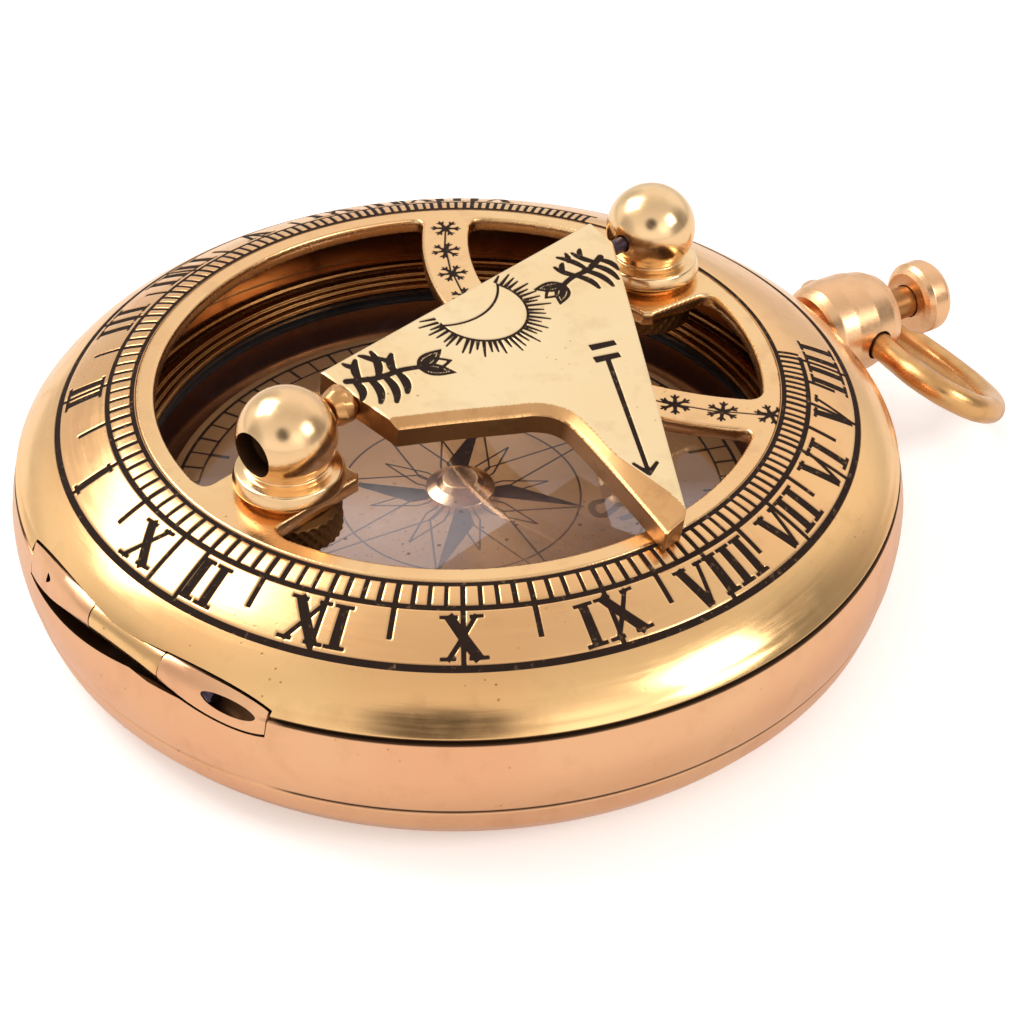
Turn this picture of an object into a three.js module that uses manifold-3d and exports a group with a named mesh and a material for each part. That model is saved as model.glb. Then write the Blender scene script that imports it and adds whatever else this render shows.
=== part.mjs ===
// Brass pocket sundial compass.
//
// Millimetres, +Z up. The origin is the centre of the flat underside.
// +X runs along the dial's noon line, away from XII. The lid hinge is at -X, and
// the gnomon's tip points to -Y. The pendant and its button sit PENDANT_AZ degrees
// round from +X, at mid height of the case band.
import * as THREE from 'three';
import { mergeVertices } from 'three/addons/utils/BufferGeometryUtils.js';
import Module from 'manifold-3d';

const wasm = await Module();
wasm.setup();

// ---------- driving dimensions ----------
const TOP_Z = 12.0;           // flat top plane of the lid ring
const OPEN_R = 16.5;          // radius of the lid's open centre
const LID_R = 24.35;          // lid radius at the seam
const TAB_T = 0.9;            // tab and bridge thickness
const CASE_R = 24.8;          // widest radius of the case band
const WALL_R = 23.3;          // inner radius of the case band
const LEDGE_R = 20.15;        // opening of the band's inner ledge
const LEDGE_Z = [4.5, 5.35];  // underside and top of the ledge

const HINGE_X = -23.2;        // lid hinge axis, parallel to Y
const HINGE_Z = 7.9;          // just below the lid's lower edge
const KNUCKLE_Y = [-9.4, -3.25, 2.1, 8.4]; // ends of the three knuckles
const KNUCKLE_R = 1.1;
const KNUCKLE_GAP = 0.1;      // play between neighbouring knuckles
const PIN_R = 0.45;           // hinge pin and gnomon pins
const PIN_HOLE_R = 0.52;
const PIN_Y = [-7.4, 6.8];    // hinge pin ends, short of the filed barrel ends

const POST_Y = -0.8;
const BALL_R = 2.57;
const BALL_Z = TOP_Z + 3.05;  // gnomon hinge axis height
const COLLAR_Z = TOP_Z + 0.3; // underside of the post collar
const POST_GAP = 0.03;        // gap at the washer and nut faces
// outward: direction along X away from the gnomon; pinX: ends of the gnomon pin
const POSTS = [
  { side: 'north', x: -13.0, outward: -1, pinX: [-12.3, -7.7] },
  { side: 'south', x: 15.0, outward: 1, pinX: [10.4, 14.3] },
];

const GNOMON_TILT = 7.5;      // degrees below level, tip just clear of the ring
const GNOMON_T = 1.5;
const GNOMON_HOLE_X = [-9.1, 11.7]; // centres of the pin holes in its two ends

const PENDANT_AZ = -15;       // degrees from +X
const PENDANT_Z = 5.75;
const STEM_R = 1.0;
const BUTTON_R = 2.3;
const BUTTON_GAP = 0.06;      // radial play between cap and stem
const BOW_AT = 28.1;          // distance of the bow holes along the pendant axis
const BOW_DROOP = 33;         // degrees below level
const BOW_WIRE_R = 0.82;
const BOW_HOLE_R = 0.92;

const LATCH_AZ = PENDANT_AZ - 50;          // azimuth of the catch spring's screw
const LATCH_FOOT = polar(22.15, LATCH_AZ); // centre of that screw
const LATCH_R = [21.75, 22.1];             // inner and outer faces of the strip
const LIFT_AZ = 222;                       // the lift spring lies square to this azimuth
const LIFT_R = 21.66;                      // its distance from the centre
const LIFT_FOOT = liftFoot(-4.9);
const SCREW_HOLE_R = 0.52;
const SCREW_BOTTOM_Z = 4.55;

// facet counts of round work
const FACETS = { large: 54, medium: 32, relief: 28, barrel: 18, small: 16, tiny: 12 };

// ---------- materials ----------
const COLOR = {
  yellowBrass: 0xd9b463,
  copperyBrass: 0xd79b78,
  bowBrass: 0xd0944f,
  cardBrass: 0xc79a5c,
  bezelBrass: 0x9c6b3c,
  darkBrass: 0x4a3a2e,
  steel: 0x8a8a90,
  springSteel: 0x6d6f78,
  magnetSteel: 0x55565c,
  darkPin: 0x2f2630,
  gasket: 0x222222,
  glass: 0xb9b0c0,
};

const metal = (color, { roughness }) =>
  new THREE.MeshStandardMaterial({ color, roughness, metalness: 1 });
const yellow = (finish) => metal(COLOR.yellowBrass, finish);
const coppery = (finish) => metal(COLOR.copperyBrass, finish);
const steel = (finish) => metal(COLOR.steel, finish);
const springSteel = () => metal(COLOR.springSteel, { roughness: 0.35 });
const gasketRubber = () =>
  new THREE.MeshStandardMaterial({ color: COLOR.gasket, roughness: 0.9, metalness: 0 });
const clearGlass = () => new THREE.MeshStandardMaterial({
  color: COLOR.glass, roughness: 0.05, metalness: 0, transparent: true, opacity: 0.4,
});

// ---------- angles and places ----------
function rad(degrees) {
  return THREE.MathUtils.degToRad(degrees);
}

function polar(radius, azimuth) {
  return [radius * Math.cos(rad(azimuth)), radius * Math.sin(rad(azimuth))];
}

// point on the lift spring's centreline, a distance along it from its middle
function liftFoot(along) {
  const [x, y] = polar(LIFT_R, LIFT_AZ);
  const [alongX, alongY] = polar(along, LIFT_AZ + 90);
  return [x + alongX, y + alongY];
}

// ---------- meshes and solids ----------
// bare positions, shared vertices, no collapsed triangles, faces outward
function weld(geometry) {
  const loose = geometry.index ? geometry.toNonIndexed() : geometry.clone();
  for (const name of Object.keys(loose.attributes)) {
    if (name !== 'position') loose.deleteAttribute(name);
  }
  const merged = mergeVertices(loose, 1e-4);
  const position = merged.attributes.position;
  const source = merged.index.array;
  const corners = [0, 1, 2].map(() => new THREE.Vector3());
  const triangles = [];
  let volume = 0;
  for (let i = 0; i < source.length; i += 3) {
    const triangle = Array.from(source.slice(i, i + 3));
    if (new Set(triangle).size < 3) continue;
    triangles.push(triangle);
    const [p, q, r] = corners.map((corner, k) => corner.fromBufferAttribute(position, triangle[k]));
    volume += p.dot(q.cross(r));
  }
  if (volume < 0) for (const triangle of triangles) triangle.push(triangle.splice(1, 1)[0]);
  return indexed(new Float32Array(position.array), triangles.flat());
}

function indexed(positions, triangles) {
  const geometry = new THREE.BufferGeometry();
  geometry.setAttribute('position', new THREE.BufferAttribute(positions, 3));
  geometry.setIndex(triangles);
  return geometry;
}

function solid(geometry) {
  const welded = weld(geometry);
  return new wasm.Manifold(new wasm.Mesh({
    numProp: 3,
    vertProperties: welded.attributes.position.array,
    triVerts: new Uint32Array(welded.index.array),
  }));
}

function meshed(manifold) {
  const { numVert, numProp, vertProperties, triVerts } = manifold.getMesh();
  const positions = new Float32Array(numVert * 3);
  for (let i = 0; i < numVert; i++) {
    for (let k = 0; k < 3; k++) positions[i * 3 + k] = vertProperties[i * numProp + k];
  }
  return indexed(positions, Array.from(triVerts));
}

const join = (body, ...parts) => parts.reduce((sum, part) => sum.add(solid(part)), body);
const cut = (body, ...tools) => tools.reduce((rest, tool) => rest.subtract(solid(tool)), body);

// ---------- shapes ----------
const vectors = (points) => points.map(([x, y]) => new THREE.Vector2(x, y));

// revolve an (r, z) profile about +Z
function turned(profile, facets) {
  return new THREE.LatheGeometry(vectors(profile), facets).rotateX(Math.PI / 2);
}

// the same, closing the profile back to its first point
const ring = (profile, facets) => turned([...profile, profile[0]], facets);

// revolve a (distance along X, radius) profile about +X
function turnedX(profile, facets) {
  const points = profile.map(([along, radius]) => [radius, along]);
  return new THREE.LatheGeometry(vectors(points), facets).rotateZ(-Math.PI / 2);
}

// cylinder along an axis letter, centred on a point
function rod({ radius, length, axis, at, facets = FACETS.small }) {
  const geometry = new THREE.CylinderGeometry(radius, radius, length, facets);
  if (axis === 'z') geometry.rotateX(Math.PI / 2);
  if (axis === 'x') geometry.rotateZ(Math.PI / 2);
  return geometry.translate(...at);
}

// box between [low, high] limits on each axis
function block({ x, y, z }) {
  return new THREE.BoxGeometry(x[1] - x[0], y[1] - y[0], z[1] - z[0])
    .translate((x[0] + x[1]) / 2, (y[0] + y[1]) / 2, (z[0] + z[1]) / 2);
}

// (x, y) outline between two heights
function plate(outline, z0, z1) {
  const shape = new THREE.Shape(vectors(outline));
  return new THREE.ExtrudeGeometry(shape, { depth: z1 - z0, bevelEnabled: false })
    .translate(0, 0, z0);
}

// outline of a band following an arc, between two radii and two azimuths
function arcBand({ radii: [inner, outer], azimuths: [start, end], steps, centre = [0, 0] }) {
  const arc = (radius) => Array.from({ length: steps + 1 }, (_, i) => {
    const [x, y] = polar(radius, start + (end - start) * i / steps);
    return [x + centre[0], y + centre[1]];
  });
  return [...arc(outer), ...arc(inner).reverse()];
}

// round wire swept along a curve
function wireAlong(curve, { radius, steps, curveSegments }) {
  const section = new THREE.Shape();
  section.absarc(0, 0, radius, 0, Math.PI * 2, false);
  return new THREE.ExtrudeGeometry(section, {
    steps, curveSegments, bevelEnabled: false, extrudePath: curve,
  });
}

// block at +X turned round to the pendant's azimuth
const pendantBlock = (limits) => block(limits).rotateZ(rad(PENDANT_AZ));

// move a piece made along +X at the origin onto the pendant axis
function onPendant(geometry) {
  return geometry.translate(0, 0, PENDANT_Z).rotateZ(rad(PENDANT_AZ));
}

// ---------- lid hinge ----------
// rod on the hinge axis between two Y stations
function hingeRod(radius, [y0, y1], facets) {
  const at = [HINGE_X, (y0 + y1) / 2, HINGE_Z];
  return rod({ radius, length: y1 - y0, axis: 'y', at, facets });
}

// clearance round the knuckles, a little longer than the whole barrel
function hingeRelief(radius) {
  const overrun = 0.2;
  return hingeRod(radius, [KNUCKLE_Y[0] - overrun, KNUCKLE_Y[3] + overrun], FACETS.relief);
}

const hingePinHole = () => hingeRod(PIN_HOLE_R, [-15, 15]);

// knuckle with a web joining it to its part; web limits in X are from the hinge axis
function knuckle([y0, y1], webX, webZ) {
  const y = [y0 + KNUCKLE_GAP / 2, y1 - KNUCKLE_GAP / 2];
  const web = block({ x: webX.map((x) => HINGE_X + x), y, z: webZ });
  return [hingeRod(KNUCKLE_R, y), web];
}

const hingePin = () => weld(hingeRod(PIN_R, PIN_Y, FACETS.tiny));

// ---------- case ----------
// middle band: bulged outside, ledge inside for the compass, notch and knuckles for the lid
function caseBand() {
  const wall = solid(ring([
    [23.75, 3.55], [24.58, 3.55], [24.74, 4.5], [CASE_R, 5.6], [24.66, 6.8], [24.42, 7.85],
    [WALL_R, 7.85], [WALL_R, LEDGE_Z[1]], [LEDGE_R, LEDGE_Z[1]], [LEDGE_R, LEDGE_Z[0]],
    [23.75, LEDGE_Z[0]],
  ], FACETS.large));
  // the barrel is filed flush with the round of the case
  const filed = solid(turned([
    [0, 4.8], [CASE_R - 0.1, 4.8], [CASE_R, 5.6], [24.72, 7.0], [24.6, 8.2], [24.2, 9.1], [0, 9.1],
  ], FACETS.large));
  let band = cut(wall, hingeRelief(2.1));
  for (const ends of [KNUCKLE_Y.slice(0, 2), KNUCKLE_Y.slice(2)]) {
    const [barrel, web] = knuckle(ends, [-0.7, 1.0], [5.0, HINGE_Z]);
    band = band.add(join(solid(barrel), web).intersect(filed));
  }
  // radial hole for the pendant's spigot
  const spigotHole = onPendant(turnedX([[21, 0], [21, 1.8], [26, 1.8], [26, 0]], FACETS.small));
  // holes in the ledge for the two spring screws
  const screwHoles = [LATCH_FOOT, LIFT_FOOT].map((foot) => footHole(SCREW_HOLE_R, foot, 5));
  return meshed(cut(band, hingePinHole(), spigotHole, ...screwHoles));
}

// dished disc with a flat underside and a spigot that presses into the band
function backCover() {
  return weld(turned([
    [0, 0], [20.5, 0], [22.2, 0.3], [23.5, 1.0], [24.25, 2.05], [24.5, 3.0], [24.5, 3.45],
    [23.65, 3.45], [23.65, 4.4], [22.9, 4.4], [22.9, 1.9], [22.0, 1.15], [20.4, 0.9], [0, 0.9],
  ], FACETS.large));
}

// ---------- lid ----------
// (x, y) outlines of the tabs that carry the posts; they run out under the flat of the ring
const TAB_OUTLINES = [
  [
    [-17.2, 2.9], [-16.2, 2.1], [-10.3, 2.1], [-9.95, 1.75],
    [-9.95, -2.55], [-10.3, -2.9], [-15.9, -2.9], [-17.2, -3.9],
  ],
  [
    [17.3, 3.2], [16.2, 2.3], [11.9, 2.3], [11.5, 1.9],
    [11.5, -3.4], [11.9, -3.8], [15.8, -4.6], [16.8, -5.4],
  ],
];

// arched bridge across the south half of the opening
function bridgeOutline() {
  const midRadius = 18.4;
  const halfWidth = 1.4;
  return arcBand({
    radii: [midRadius - halfWidth, midRadius + halfWidth],
    azimuths: [124, 233.5],
    steps: 18,
    centre: [22.5, -2.5],
  });
}

function lidRing() {
  const shell = solid(ring([
    [OPEN_R, TOP_Z], [17.6, TOP_Z], [19.0, 11.68], [20.5, 10.98], [22.0, 10.2], [23.0, 9.52],
    [23.75, 8.85], [24.2, 8.35], [LID_R, 8.0], [23.45, 8.0], [23.15, 8.5], [22.5, 9.0],
    [20.2, 10.15], [18.8, 10.75], [17.5, 11.08], [OPEN_R, 11.1],
  ], FACETS.large));
  const flats = [...TAB_OUTLINES, bridgeOutline()]
    .map((outline) => plate(outline, TOP_Z - TAB_T, TOP_Z));
  let lid = cut(join(shell, ...flats), hingeRelief(1.4));
  lid = join(lid, ...knuckle(KNUCKLE_Y.slice(1, 3), [-0.75, 0.75], [HINGE_Z, 9.55]));
  const postHoles = POSTS.map(({ x }) =>
    rod({ radius: 1.3, length: 4, axis: 'z', at: [x, POST_Y, TOP_Z] }));
  lid = cut(lid, hingePinHole(), ...postHoles);
  // catch tongue, with its tooth turned in towards the catch spring
  const y = [-1.6, 1.6];
  const tongue = pendantBlock({ x: [22.8, 23.15], y, z: [7.0, 9.6] });
  const tooth = pendantBlock({ x: [22.4, 22.9], y, z: [7.0, 7.5] });
  return meshed(join(lid, tongue, tooth));
}

// ---------- posts ----------
// ball head, groove, flared collar, shank through the tab
function post({ x, outward }) {
  const profile = [
    [0, 9.3], [1.2, 9.3], [1.2, COLLAR_Z], [2.6, COLLAR_Z], [2.92, COLLAR_Z + 0.25],
    [2.75, COLLAR_Z + 0.6], [2.2, COLLAR_Z + 0.85],
  ];
  const ballSteps = 7;
  for (let i = 0; i < ballSteps; i++) {
    const [radius, rise] = polar(BALL_R, -50 + (140 * i) / ballSteps);
    profile.push([radius, BALL_Z + rise]);
  }
  profile.push([0, BALL_Z + BALL_R]);
  const body = solid(turned(profile, FACETS.small).translate(x, POST_Y, 0));
  const pinHole = rod({
    radius: PIN_HOLE_R, length: 8, axis: 'x',
    at: [x - outward * 2, POST_Y, BALL_Z], facets: FACETS.tiny,
  });
  // wider bore in the ball's outward side
  const counterbore = rod({
    radius: 1.15, length: 4, axis: 'x', at: [x + outward * 2.6, POST_Y, BALL_Z],
  });
  return meshed(cut(body, pinHole, counterbore));
}

function postWasher({ x }) {
  const bottom = TOP_Z + POST_GAP;
  const top = COLLAR_Z - POST_GAP;
  const profile = [[1.35, bottom], [2.25, bottom], [2.25, top], [1.35, top]];
  return weld(ring(profile, FACETS.small).translate(x, POST_Y, 0));
}

// round nut below the tab
function postNut({ x }) {
  const top = TOP_Z - TAB_T - POST_GAP;
  const bottom = top - 2.0;
  return weld(ring([
    [1.3, top], [1.3, bottom], [2.3, bottom], [2.6, bottom + 0.25], [2.6, top - 0.2], [2.4, top],
  ], FACETS.barrel).translate(x, POST_Y, 0));
}

// pivot pin, fast in the gnomon and turning in the ball
function gnomonPin({ pinX: [x0, x1] }) {
  const at = [(x0 + x1) / 2, POST_Y, BALL_Z];
  return weld(rod({ radius: PIN_R, length: x1 - x0, axis: 'x', at, facets: FACETS.tiny }));
}

// ---------- gnomon ----------
// (x, y) outline, drawn level with the hinge line through the origin
const GNOMON_OUTLINE = [
  [-9.0, 1.9], [11.7, 1.9], [11.3, -0.2], [-2.3, -17.1], [-4.1, -17.4], [-3.6, -15.8],
  [-1.9, -9.0], [-2.0, -8.0], [-2.7, -7.3], [-3.6, -6.7], [-8.8, -3.6],
];

function gnomonPlate() {
  const holes = GNOMON_HOLE_X.map((x) =>
    rod({ radius: PIN_HOLE_R, length: 3, axis: 'x', at: [x, 0, 0], facets: FACETS.tiny }));
  return meshed(cut(solid(plate(GNOMON_OUTLINE, -GNOMON_T / 2, GNOMON_T / 2)), ...holes));
}

// ---------- compass ----------
const compassBowl = () => weld(turned([
  [0, 1.15], [18.0, 1.15], [19.3, 1.9], [19.9, 3.0], [19.9, 5.4], [21.0, 5.4], [21.0, 5.95],
  [19.45, 5.95], [19.45, 5.1], [18.3, 5.1], [18.3, 3.0], [17.7, 2.2], [16.8, 1.75], [0, 1.75],
], FACETS.medium));

const glassGasket = () =>
  weld(ring([[17.9, 5.13], [19.3, 5.13], [19.3, 5.4], [17.9, 5.4]], FACETS.medium));

const compassGlass = () =>
  weld(turned([[0, 5.43], [19.25, 5.43], [19.25, 6.2], [0, 6.2]], FACETS.medium));

const glassBezel = () => weld(ring([
  [17.7, 6.24], [19.7, 6.24], [19.7, 6.0], [20.9, 6.0], [20.9, 6.5], [20.3, 7.0], [18.2, 7.0],
  [17.7, 6.7],
], FACETS.medium));

const cardPivot = () => weld(turned([
  [0, 1.78], [1.3, 1.78], [1.3, 2.1], [0.45, 2.1], [0.35, 3.3], [0, 3.9],
], FACETS.tiny));

// pointed bar under the card, holed for the pivot
function cardMagnet() {
  const outline = [[-11, 0], [-10.2, 1.1], [10.2, 1.1], [11, 0], [10.2, -1.1], [-10.2, -1.1]];
  const hole = rod({ radius: 0.9, length: 3, axis: 'z', at: [0, 0, 2.8], facets: FACETS.tiny });
  return meshed(cut(solid(plate(outline, 2.45, 3.15)), hole));
}

const compassCard = () =>
  weld(ring([[1.5, 3.2], [16.9, 3.2], [16.9, 3.6], [1.5, 3.6]], FACETS.medium));

const cardHub = () => weld(turned([
  [0, 4.1], [0.75, 3.18], [1.42, 3.18], [1.42, 3.66], [2.0, 3.66], [2.0, 4.1], [1.1, 4.75],
  [0, 4.75],
], FACETS.small));

// ---------- springs inside the rim ----------
// upright hole at a spring's screw
function footHole(radius, foot, z) {
  return rod({ radius, length: 4, axis: 'z', at: [...foot, z], facets: FACETS.tiny });
}

// catch spring: curved strip on edge, eye round its screw, nose turned out over the lid's tooth
function latchSpring() {
  const bottom = 5.5;
  const top = 7.9;
  const y = [-1.5, 1.5];
  const strip = (azimuths, steps, z) =>
    plate(arcBand({ radii: LATCH_R, azimuths, steps }), bottom, z);
  const spring = join(
    solid(strip([LATCH_AZ + 3.3, PENDANT_AZ + 4], 16, 6.9)),
    strip([LATCH_AZ + 1.7, LATCH_AZ + 4.5], 3, 6.15),
    rod({ radius: 1.05, length: 0.75, axis: 'z', at: [...LATCH_FOOT, 5.825] }),
    pendantBlock({ x: LATCH_R, y, z: [bottom, top] }),
    pendantBlock({ x: [21.8, 22.35], y, z: [7.55, top] }),
  );
  return meshed(cut(spring, footHole(SCREW_HOLE_R, LATCH_FOOT, 6)));
}

// (distance along the leaf, z) of the lift spring's underside
const LIFT_LINE = [[-6.2, 5.4], [-3.6, 5.4], [-1.5, 5.75], [1.5, 6.75], [4.2, 7.75], [5.8, 8.05]];

// leaf that pushes the lid up from below
function liftSpring() {
  const thickness = 0.32;
  const width = 1.0;
  const over = LIFT_LINE.map(([along, z]) => [along, z + thickness]).reverse();
  const leaf = plate([...LIFT_LINE, ...over], 0, width)
    .rotateX(Math.PI / 2)      // heights to z, width to -y
    .translate(0, width / 2, 0)
    .rotateZ(Math.PI / 2)      // length to +y, width to x
    .translate(LIFT_R, 0, 0)
    .rotateZ(rad(LIFT_AZ));
  return meshed(cut(solid(leaf), footHole(0.42, LIFT_FOOT, 6)));
}

// radii of shank, head and crown; heights of the head's seat, rim and top
function springScrew(foot, { shank, head, crown, seat, rim, top }) {
  return weld(turned([
    [0, SCREW_BOTTOM_Z], [shank, SCREW_BOTTOM_Z], [shank, seat], [head, seat], [head, rim],
    [crown, top], [0, top],
  ], FACETS.tiny).translate(...foot, 0));
}

const latchScrew = () => springScrew(LATCH_FOOT, {
  shank: 0.44, head: 0.95, crown: 0.7, seat: 6.25, rim: 6.6, top: 6.8,
});
const liftScrew = () => springScrew(LIFT_FOOT, {
  shank: 0.36, head: 0.8, crown: 0.6, seat: 5.78, rim: 6.1, top: 6.3,
});

// ---------- pendant, button and bow ----------
// barrel neck with a spigot into the band, hollow for the stem and its spring
function pendantNeck() {
  const neck = solid(onPendant(turnedX([
    [23.8, 1.1], [23.8, 1.7], [24.95, 1.7], [24.95, 2.6], [25.5, 2.95], [26.6, 3.15],
    [28.2, 3.12], [29.5, 2.85], [30.3, 2.45], [30.6, 2.0], [30.6, 1.1], [29.9, 1.1],
    [29.9, 1.9], [25.4, 1.9], [25.4, 1.1], [23.8, 1.1],
  ], FACETS.barrel)));
  const bowHoles = rod({ radius: BOW_HOLE_R, length: 9, axis: 'y', at: [BOW_AT, 0, 0] });
  return meshed(cut(neck, onPendant(bowHoles)));
}

const buttonStem = () => weld(onPendant(turnedX([
  [22.42, 0], [22.42, 0.85], [22.6, STEM_R], [28.9, STEM_R], [28.9, 1.72], [29.35, 1.72],
  [29.35, STEM_R], [33.6, STEM_R], [33.6, 0],
], FACETS.small)));

function buttonCap() {
  const bore = STEM_R + BUTTON_GAP;
  return weld(onPendant(turnedX([
    [32.75, bore], [32.75, 1.75], [33.0, 2.1], [33.3, BUTTON_R], [34.3, BUTTON_R], [34.7, 2.05],
    [34.85, 1.4], [34.85, 0], [33.65, 0], [33.65, bore], [32.75, bore],
  ], FACETS.barrel)));
}

// helix about +X
class Coil extends THREE.Curve {
  constructor({ start, length, radius, turns }) {
    super();
    Object.assign(this, { start, length, radius, turns });
  }

  getPoint(t, target = new THREE.Vector3()) {
    const angle = t * Math.PI * 2 * this.turns;
    return target.set(
      this.start + this.length * t,
      this.radius * Math.cos(angle),
      this.radius * Math.sin(angle),
    );
  }
}

// return spring, an open coil round the stem
function buttonSpring() {
  const coil = new Coil({ start: 25.7, length: 2.0, radius: 1.5, turns: 3.5 });
  return weld(onPendant(wireAlong(coil, { radius: 0.16, steps: 42, curveSegments: 2 })));
}

// bow centreline: (distance out from the holes, distance sideways)
const BOW_PATH = [
  [0, -2.0], [0, -3.3], [-0.4, -5.0], [-0.75, -7.0], [-0.05, -8.9], [1.9, -9.8],
  [4.6, -9.2], [6.9, -7.4], [8.2, -5.0], [8.7, -2.4], [8.6, 0.2], [7.8, 2.6],
  [6.0, 4.3], [3.6, 5.0], [1.5, 4.75], [0.25, 3.9], [0, 3.1], [0, 2.0],
];

// one bent wire with its ends in the neck's two holes, hanging over to one side
function bowRing() {
  const points = BOW_PATH.map(([out, side]) => new THREE.Vector3(out, side, 0));
  const curve = new THREE.CatmullRomCurve3(points, false, 'centripetal');
  const bow = wireAlong(curve, { radius: BOW_WIRE_R, steps: 44, curveSegments: 4 });
  return weld(onPendant(bow.rotateY(rad(BOW_DROOP)).translate(BOW_AT, 0, 0)));
}

// ---------- assembly ----------
const sundial = new THREE.Group();

function add(name, geometry, material, parent = sundial) {
  const mesh = new THREE.Mesh(geometry, material);
  mesh.name = name;
  parent.add(mesh);
}

add('case_band', caseBand(), coppery({ roughness: 0.3 }));
add('back_cover', backCover(), coppery({ roughness: 0.32 }));
add('lid_ring', lidRing(), yellow({ roughness: 0.2 }));
add('hinge_pin', hingePin(), steel({ roughness: 0.4 }));

for (const spec of POSTS) {
  add(`post_${spec.side}`, post(spec), yellow({ roughness: 0.15 }));
  add(`post_washer_${spec.side}`, postWasher(spec), yellow({ roughness: 0.35 }));
  add(`post_nut_${spec.side}`, postNut(spec), metal(COLOR.darkBrass, { roughness: 0.6 }));
  add(`gnomon_pin_${spec.side}`, gnomonPin(spec), metal(COLOR.darkPin, { roughness: 0.4 }));
}

// the gnomon turns about the line through the two balls
const gnomonTurn = new THREE.Group();
gnomonTurn.position.set(0, POST_Y, BALL_Z);
gnomonTurn.rotation.x = rad(GNOMON_TILT);
sundial.add(gnomonTurn);
add('gnomon_plate', gnomonPlate(), yellow({ roughness: 0.22 }), gnomonTurn);

add('compass_bowl', compassBowl(), metal(COLOR.darkBrass, { roughness: 0.5 }));
add('glass_gasket', glassGasket(), gasketRubber());
add('compass_glass', compassGlass(), clearGlass());
add('glass_bezel', glassBezel(), metal(COLOR.bezelBrass, { roughness: 0.4 }));
add('card_pivot', cardPivot(), steel({ roughness: 0.3 }));
add('card_magnet', cardMagnet(), metal(COLOR.magnetSteel, { roughness: 0.5 }));
add('compass_card', compassCard(), metal(COLOR.cardBrass, { roughness: 0.4 }));
add('card_hub', cardHub(), yellow({ roughness: 0.25 }));

add('latch_spring', latchSpring(), springSteel());
add('latch_screw', latchScrew(), steel({ roughness: 0.35 }));
add('lift_spring', liftSpring(), springSteel());
add('lift_screw', liftScrew(), steel({ roughness: 0.35 }));

add('pendant_neck', pendantNeck(), coppery({ roughness: 0.25 }));
add('button_stem', buttonStem(), coppery({ roughness: 0.3 }));
add('button_cap', buttonCap(), coppery({ roughness: 0.25 }));
add('button_spring', buttonSpring(), steel({ roughness: 0.35 }));
add('bow_ring', bowRing(), metal(COLOR.bowBrass, { roughness: 0.25 }));

export default sundial;
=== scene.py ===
"""Looks of a brass pocket sundial compass, built on the CAD frame.

The case is centred on the Z axis and rests on Z = 0. The hinge lies along Y at the -X rim; the
pendant with its button and bow points along +X, turned 15 degrees towards -Y. The lid carries the
dial and two ball posts, which hold the tilted gnomon plate. Lengths are in mm unless noted.
"""
import math
from contextlib import contextmanager

import bmesh
import bpy
import numpy as np
from mathutils import Matrix, Vector


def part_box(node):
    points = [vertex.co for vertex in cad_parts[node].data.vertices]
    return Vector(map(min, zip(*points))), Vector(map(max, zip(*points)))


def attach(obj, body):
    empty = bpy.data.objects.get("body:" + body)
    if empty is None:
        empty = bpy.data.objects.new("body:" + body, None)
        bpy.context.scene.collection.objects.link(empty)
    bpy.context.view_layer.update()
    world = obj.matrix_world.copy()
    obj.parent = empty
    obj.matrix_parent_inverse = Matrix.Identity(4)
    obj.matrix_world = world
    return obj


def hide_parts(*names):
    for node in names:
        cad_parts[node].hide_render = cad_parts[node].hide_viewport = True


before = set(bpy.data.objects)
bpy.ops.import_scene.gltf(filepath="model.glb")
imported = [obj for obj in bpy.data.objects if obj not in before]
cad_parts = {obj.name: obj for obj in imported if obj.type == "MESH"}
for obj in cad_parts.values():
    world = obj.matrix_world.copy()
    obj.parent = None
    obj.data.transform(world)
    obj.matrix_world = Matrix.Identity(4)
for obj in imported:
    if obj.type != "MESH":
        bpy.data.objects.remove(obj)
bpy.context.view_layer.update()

# ------------------------------------------------------------------ sizes
MM = 0.001
rad = math.radians

TOP = 12.0                              # top of the closed lid
DIAL_R = 22.0                           # outer radius of the dial ring
DIAL_HOLE_R = 17.52
PLATE_R = 17.53                         # outer radius of the flat lid plate
HINGE_X, HINGE_Z = -23.2, 7.9
HINGE_Y = [-9.4, -3.25, 2.1, 8.4]       # ends of the three knuckles
HINGE_AT = (HINGE_X, 0, HINGE_Z)
KNUCKLE_R = 0.95
HINGE_BORE_R = 0.44

# post: x, direction of the gnomon along X, pin start x, pin end x
POSTS = {"north": (-13.0, 1, -12.3, -7.7), "south": (15.0, -1, 10.4, 14.3)}
POST_Y = -0.8
BALL_Z, BALL_R = 15.05, 2.57
TILT = rad(7.5)                         # tilt of the gnomon plate about X

PENDANT_TURN, PENDANT_Z = rad(-15), 5.75
BOW_X, BOW_DROOP, BOW_WIRE_R = 28.1, rad(33), 0.82
CARD_NORTH = 124.0                      # azimuth of the card's north, degrees
VIEW_TURN = rad(47)                     # the camera looks along +Y turned this far towards +X

assert abs(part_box("lid_ring")[1].z / MM - TOP) < 0.05

dial_rng = np.random.default_rng(7)
ray_jitter = np.random.default_rng(11).uniform(-1, 1, 64)


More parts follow.
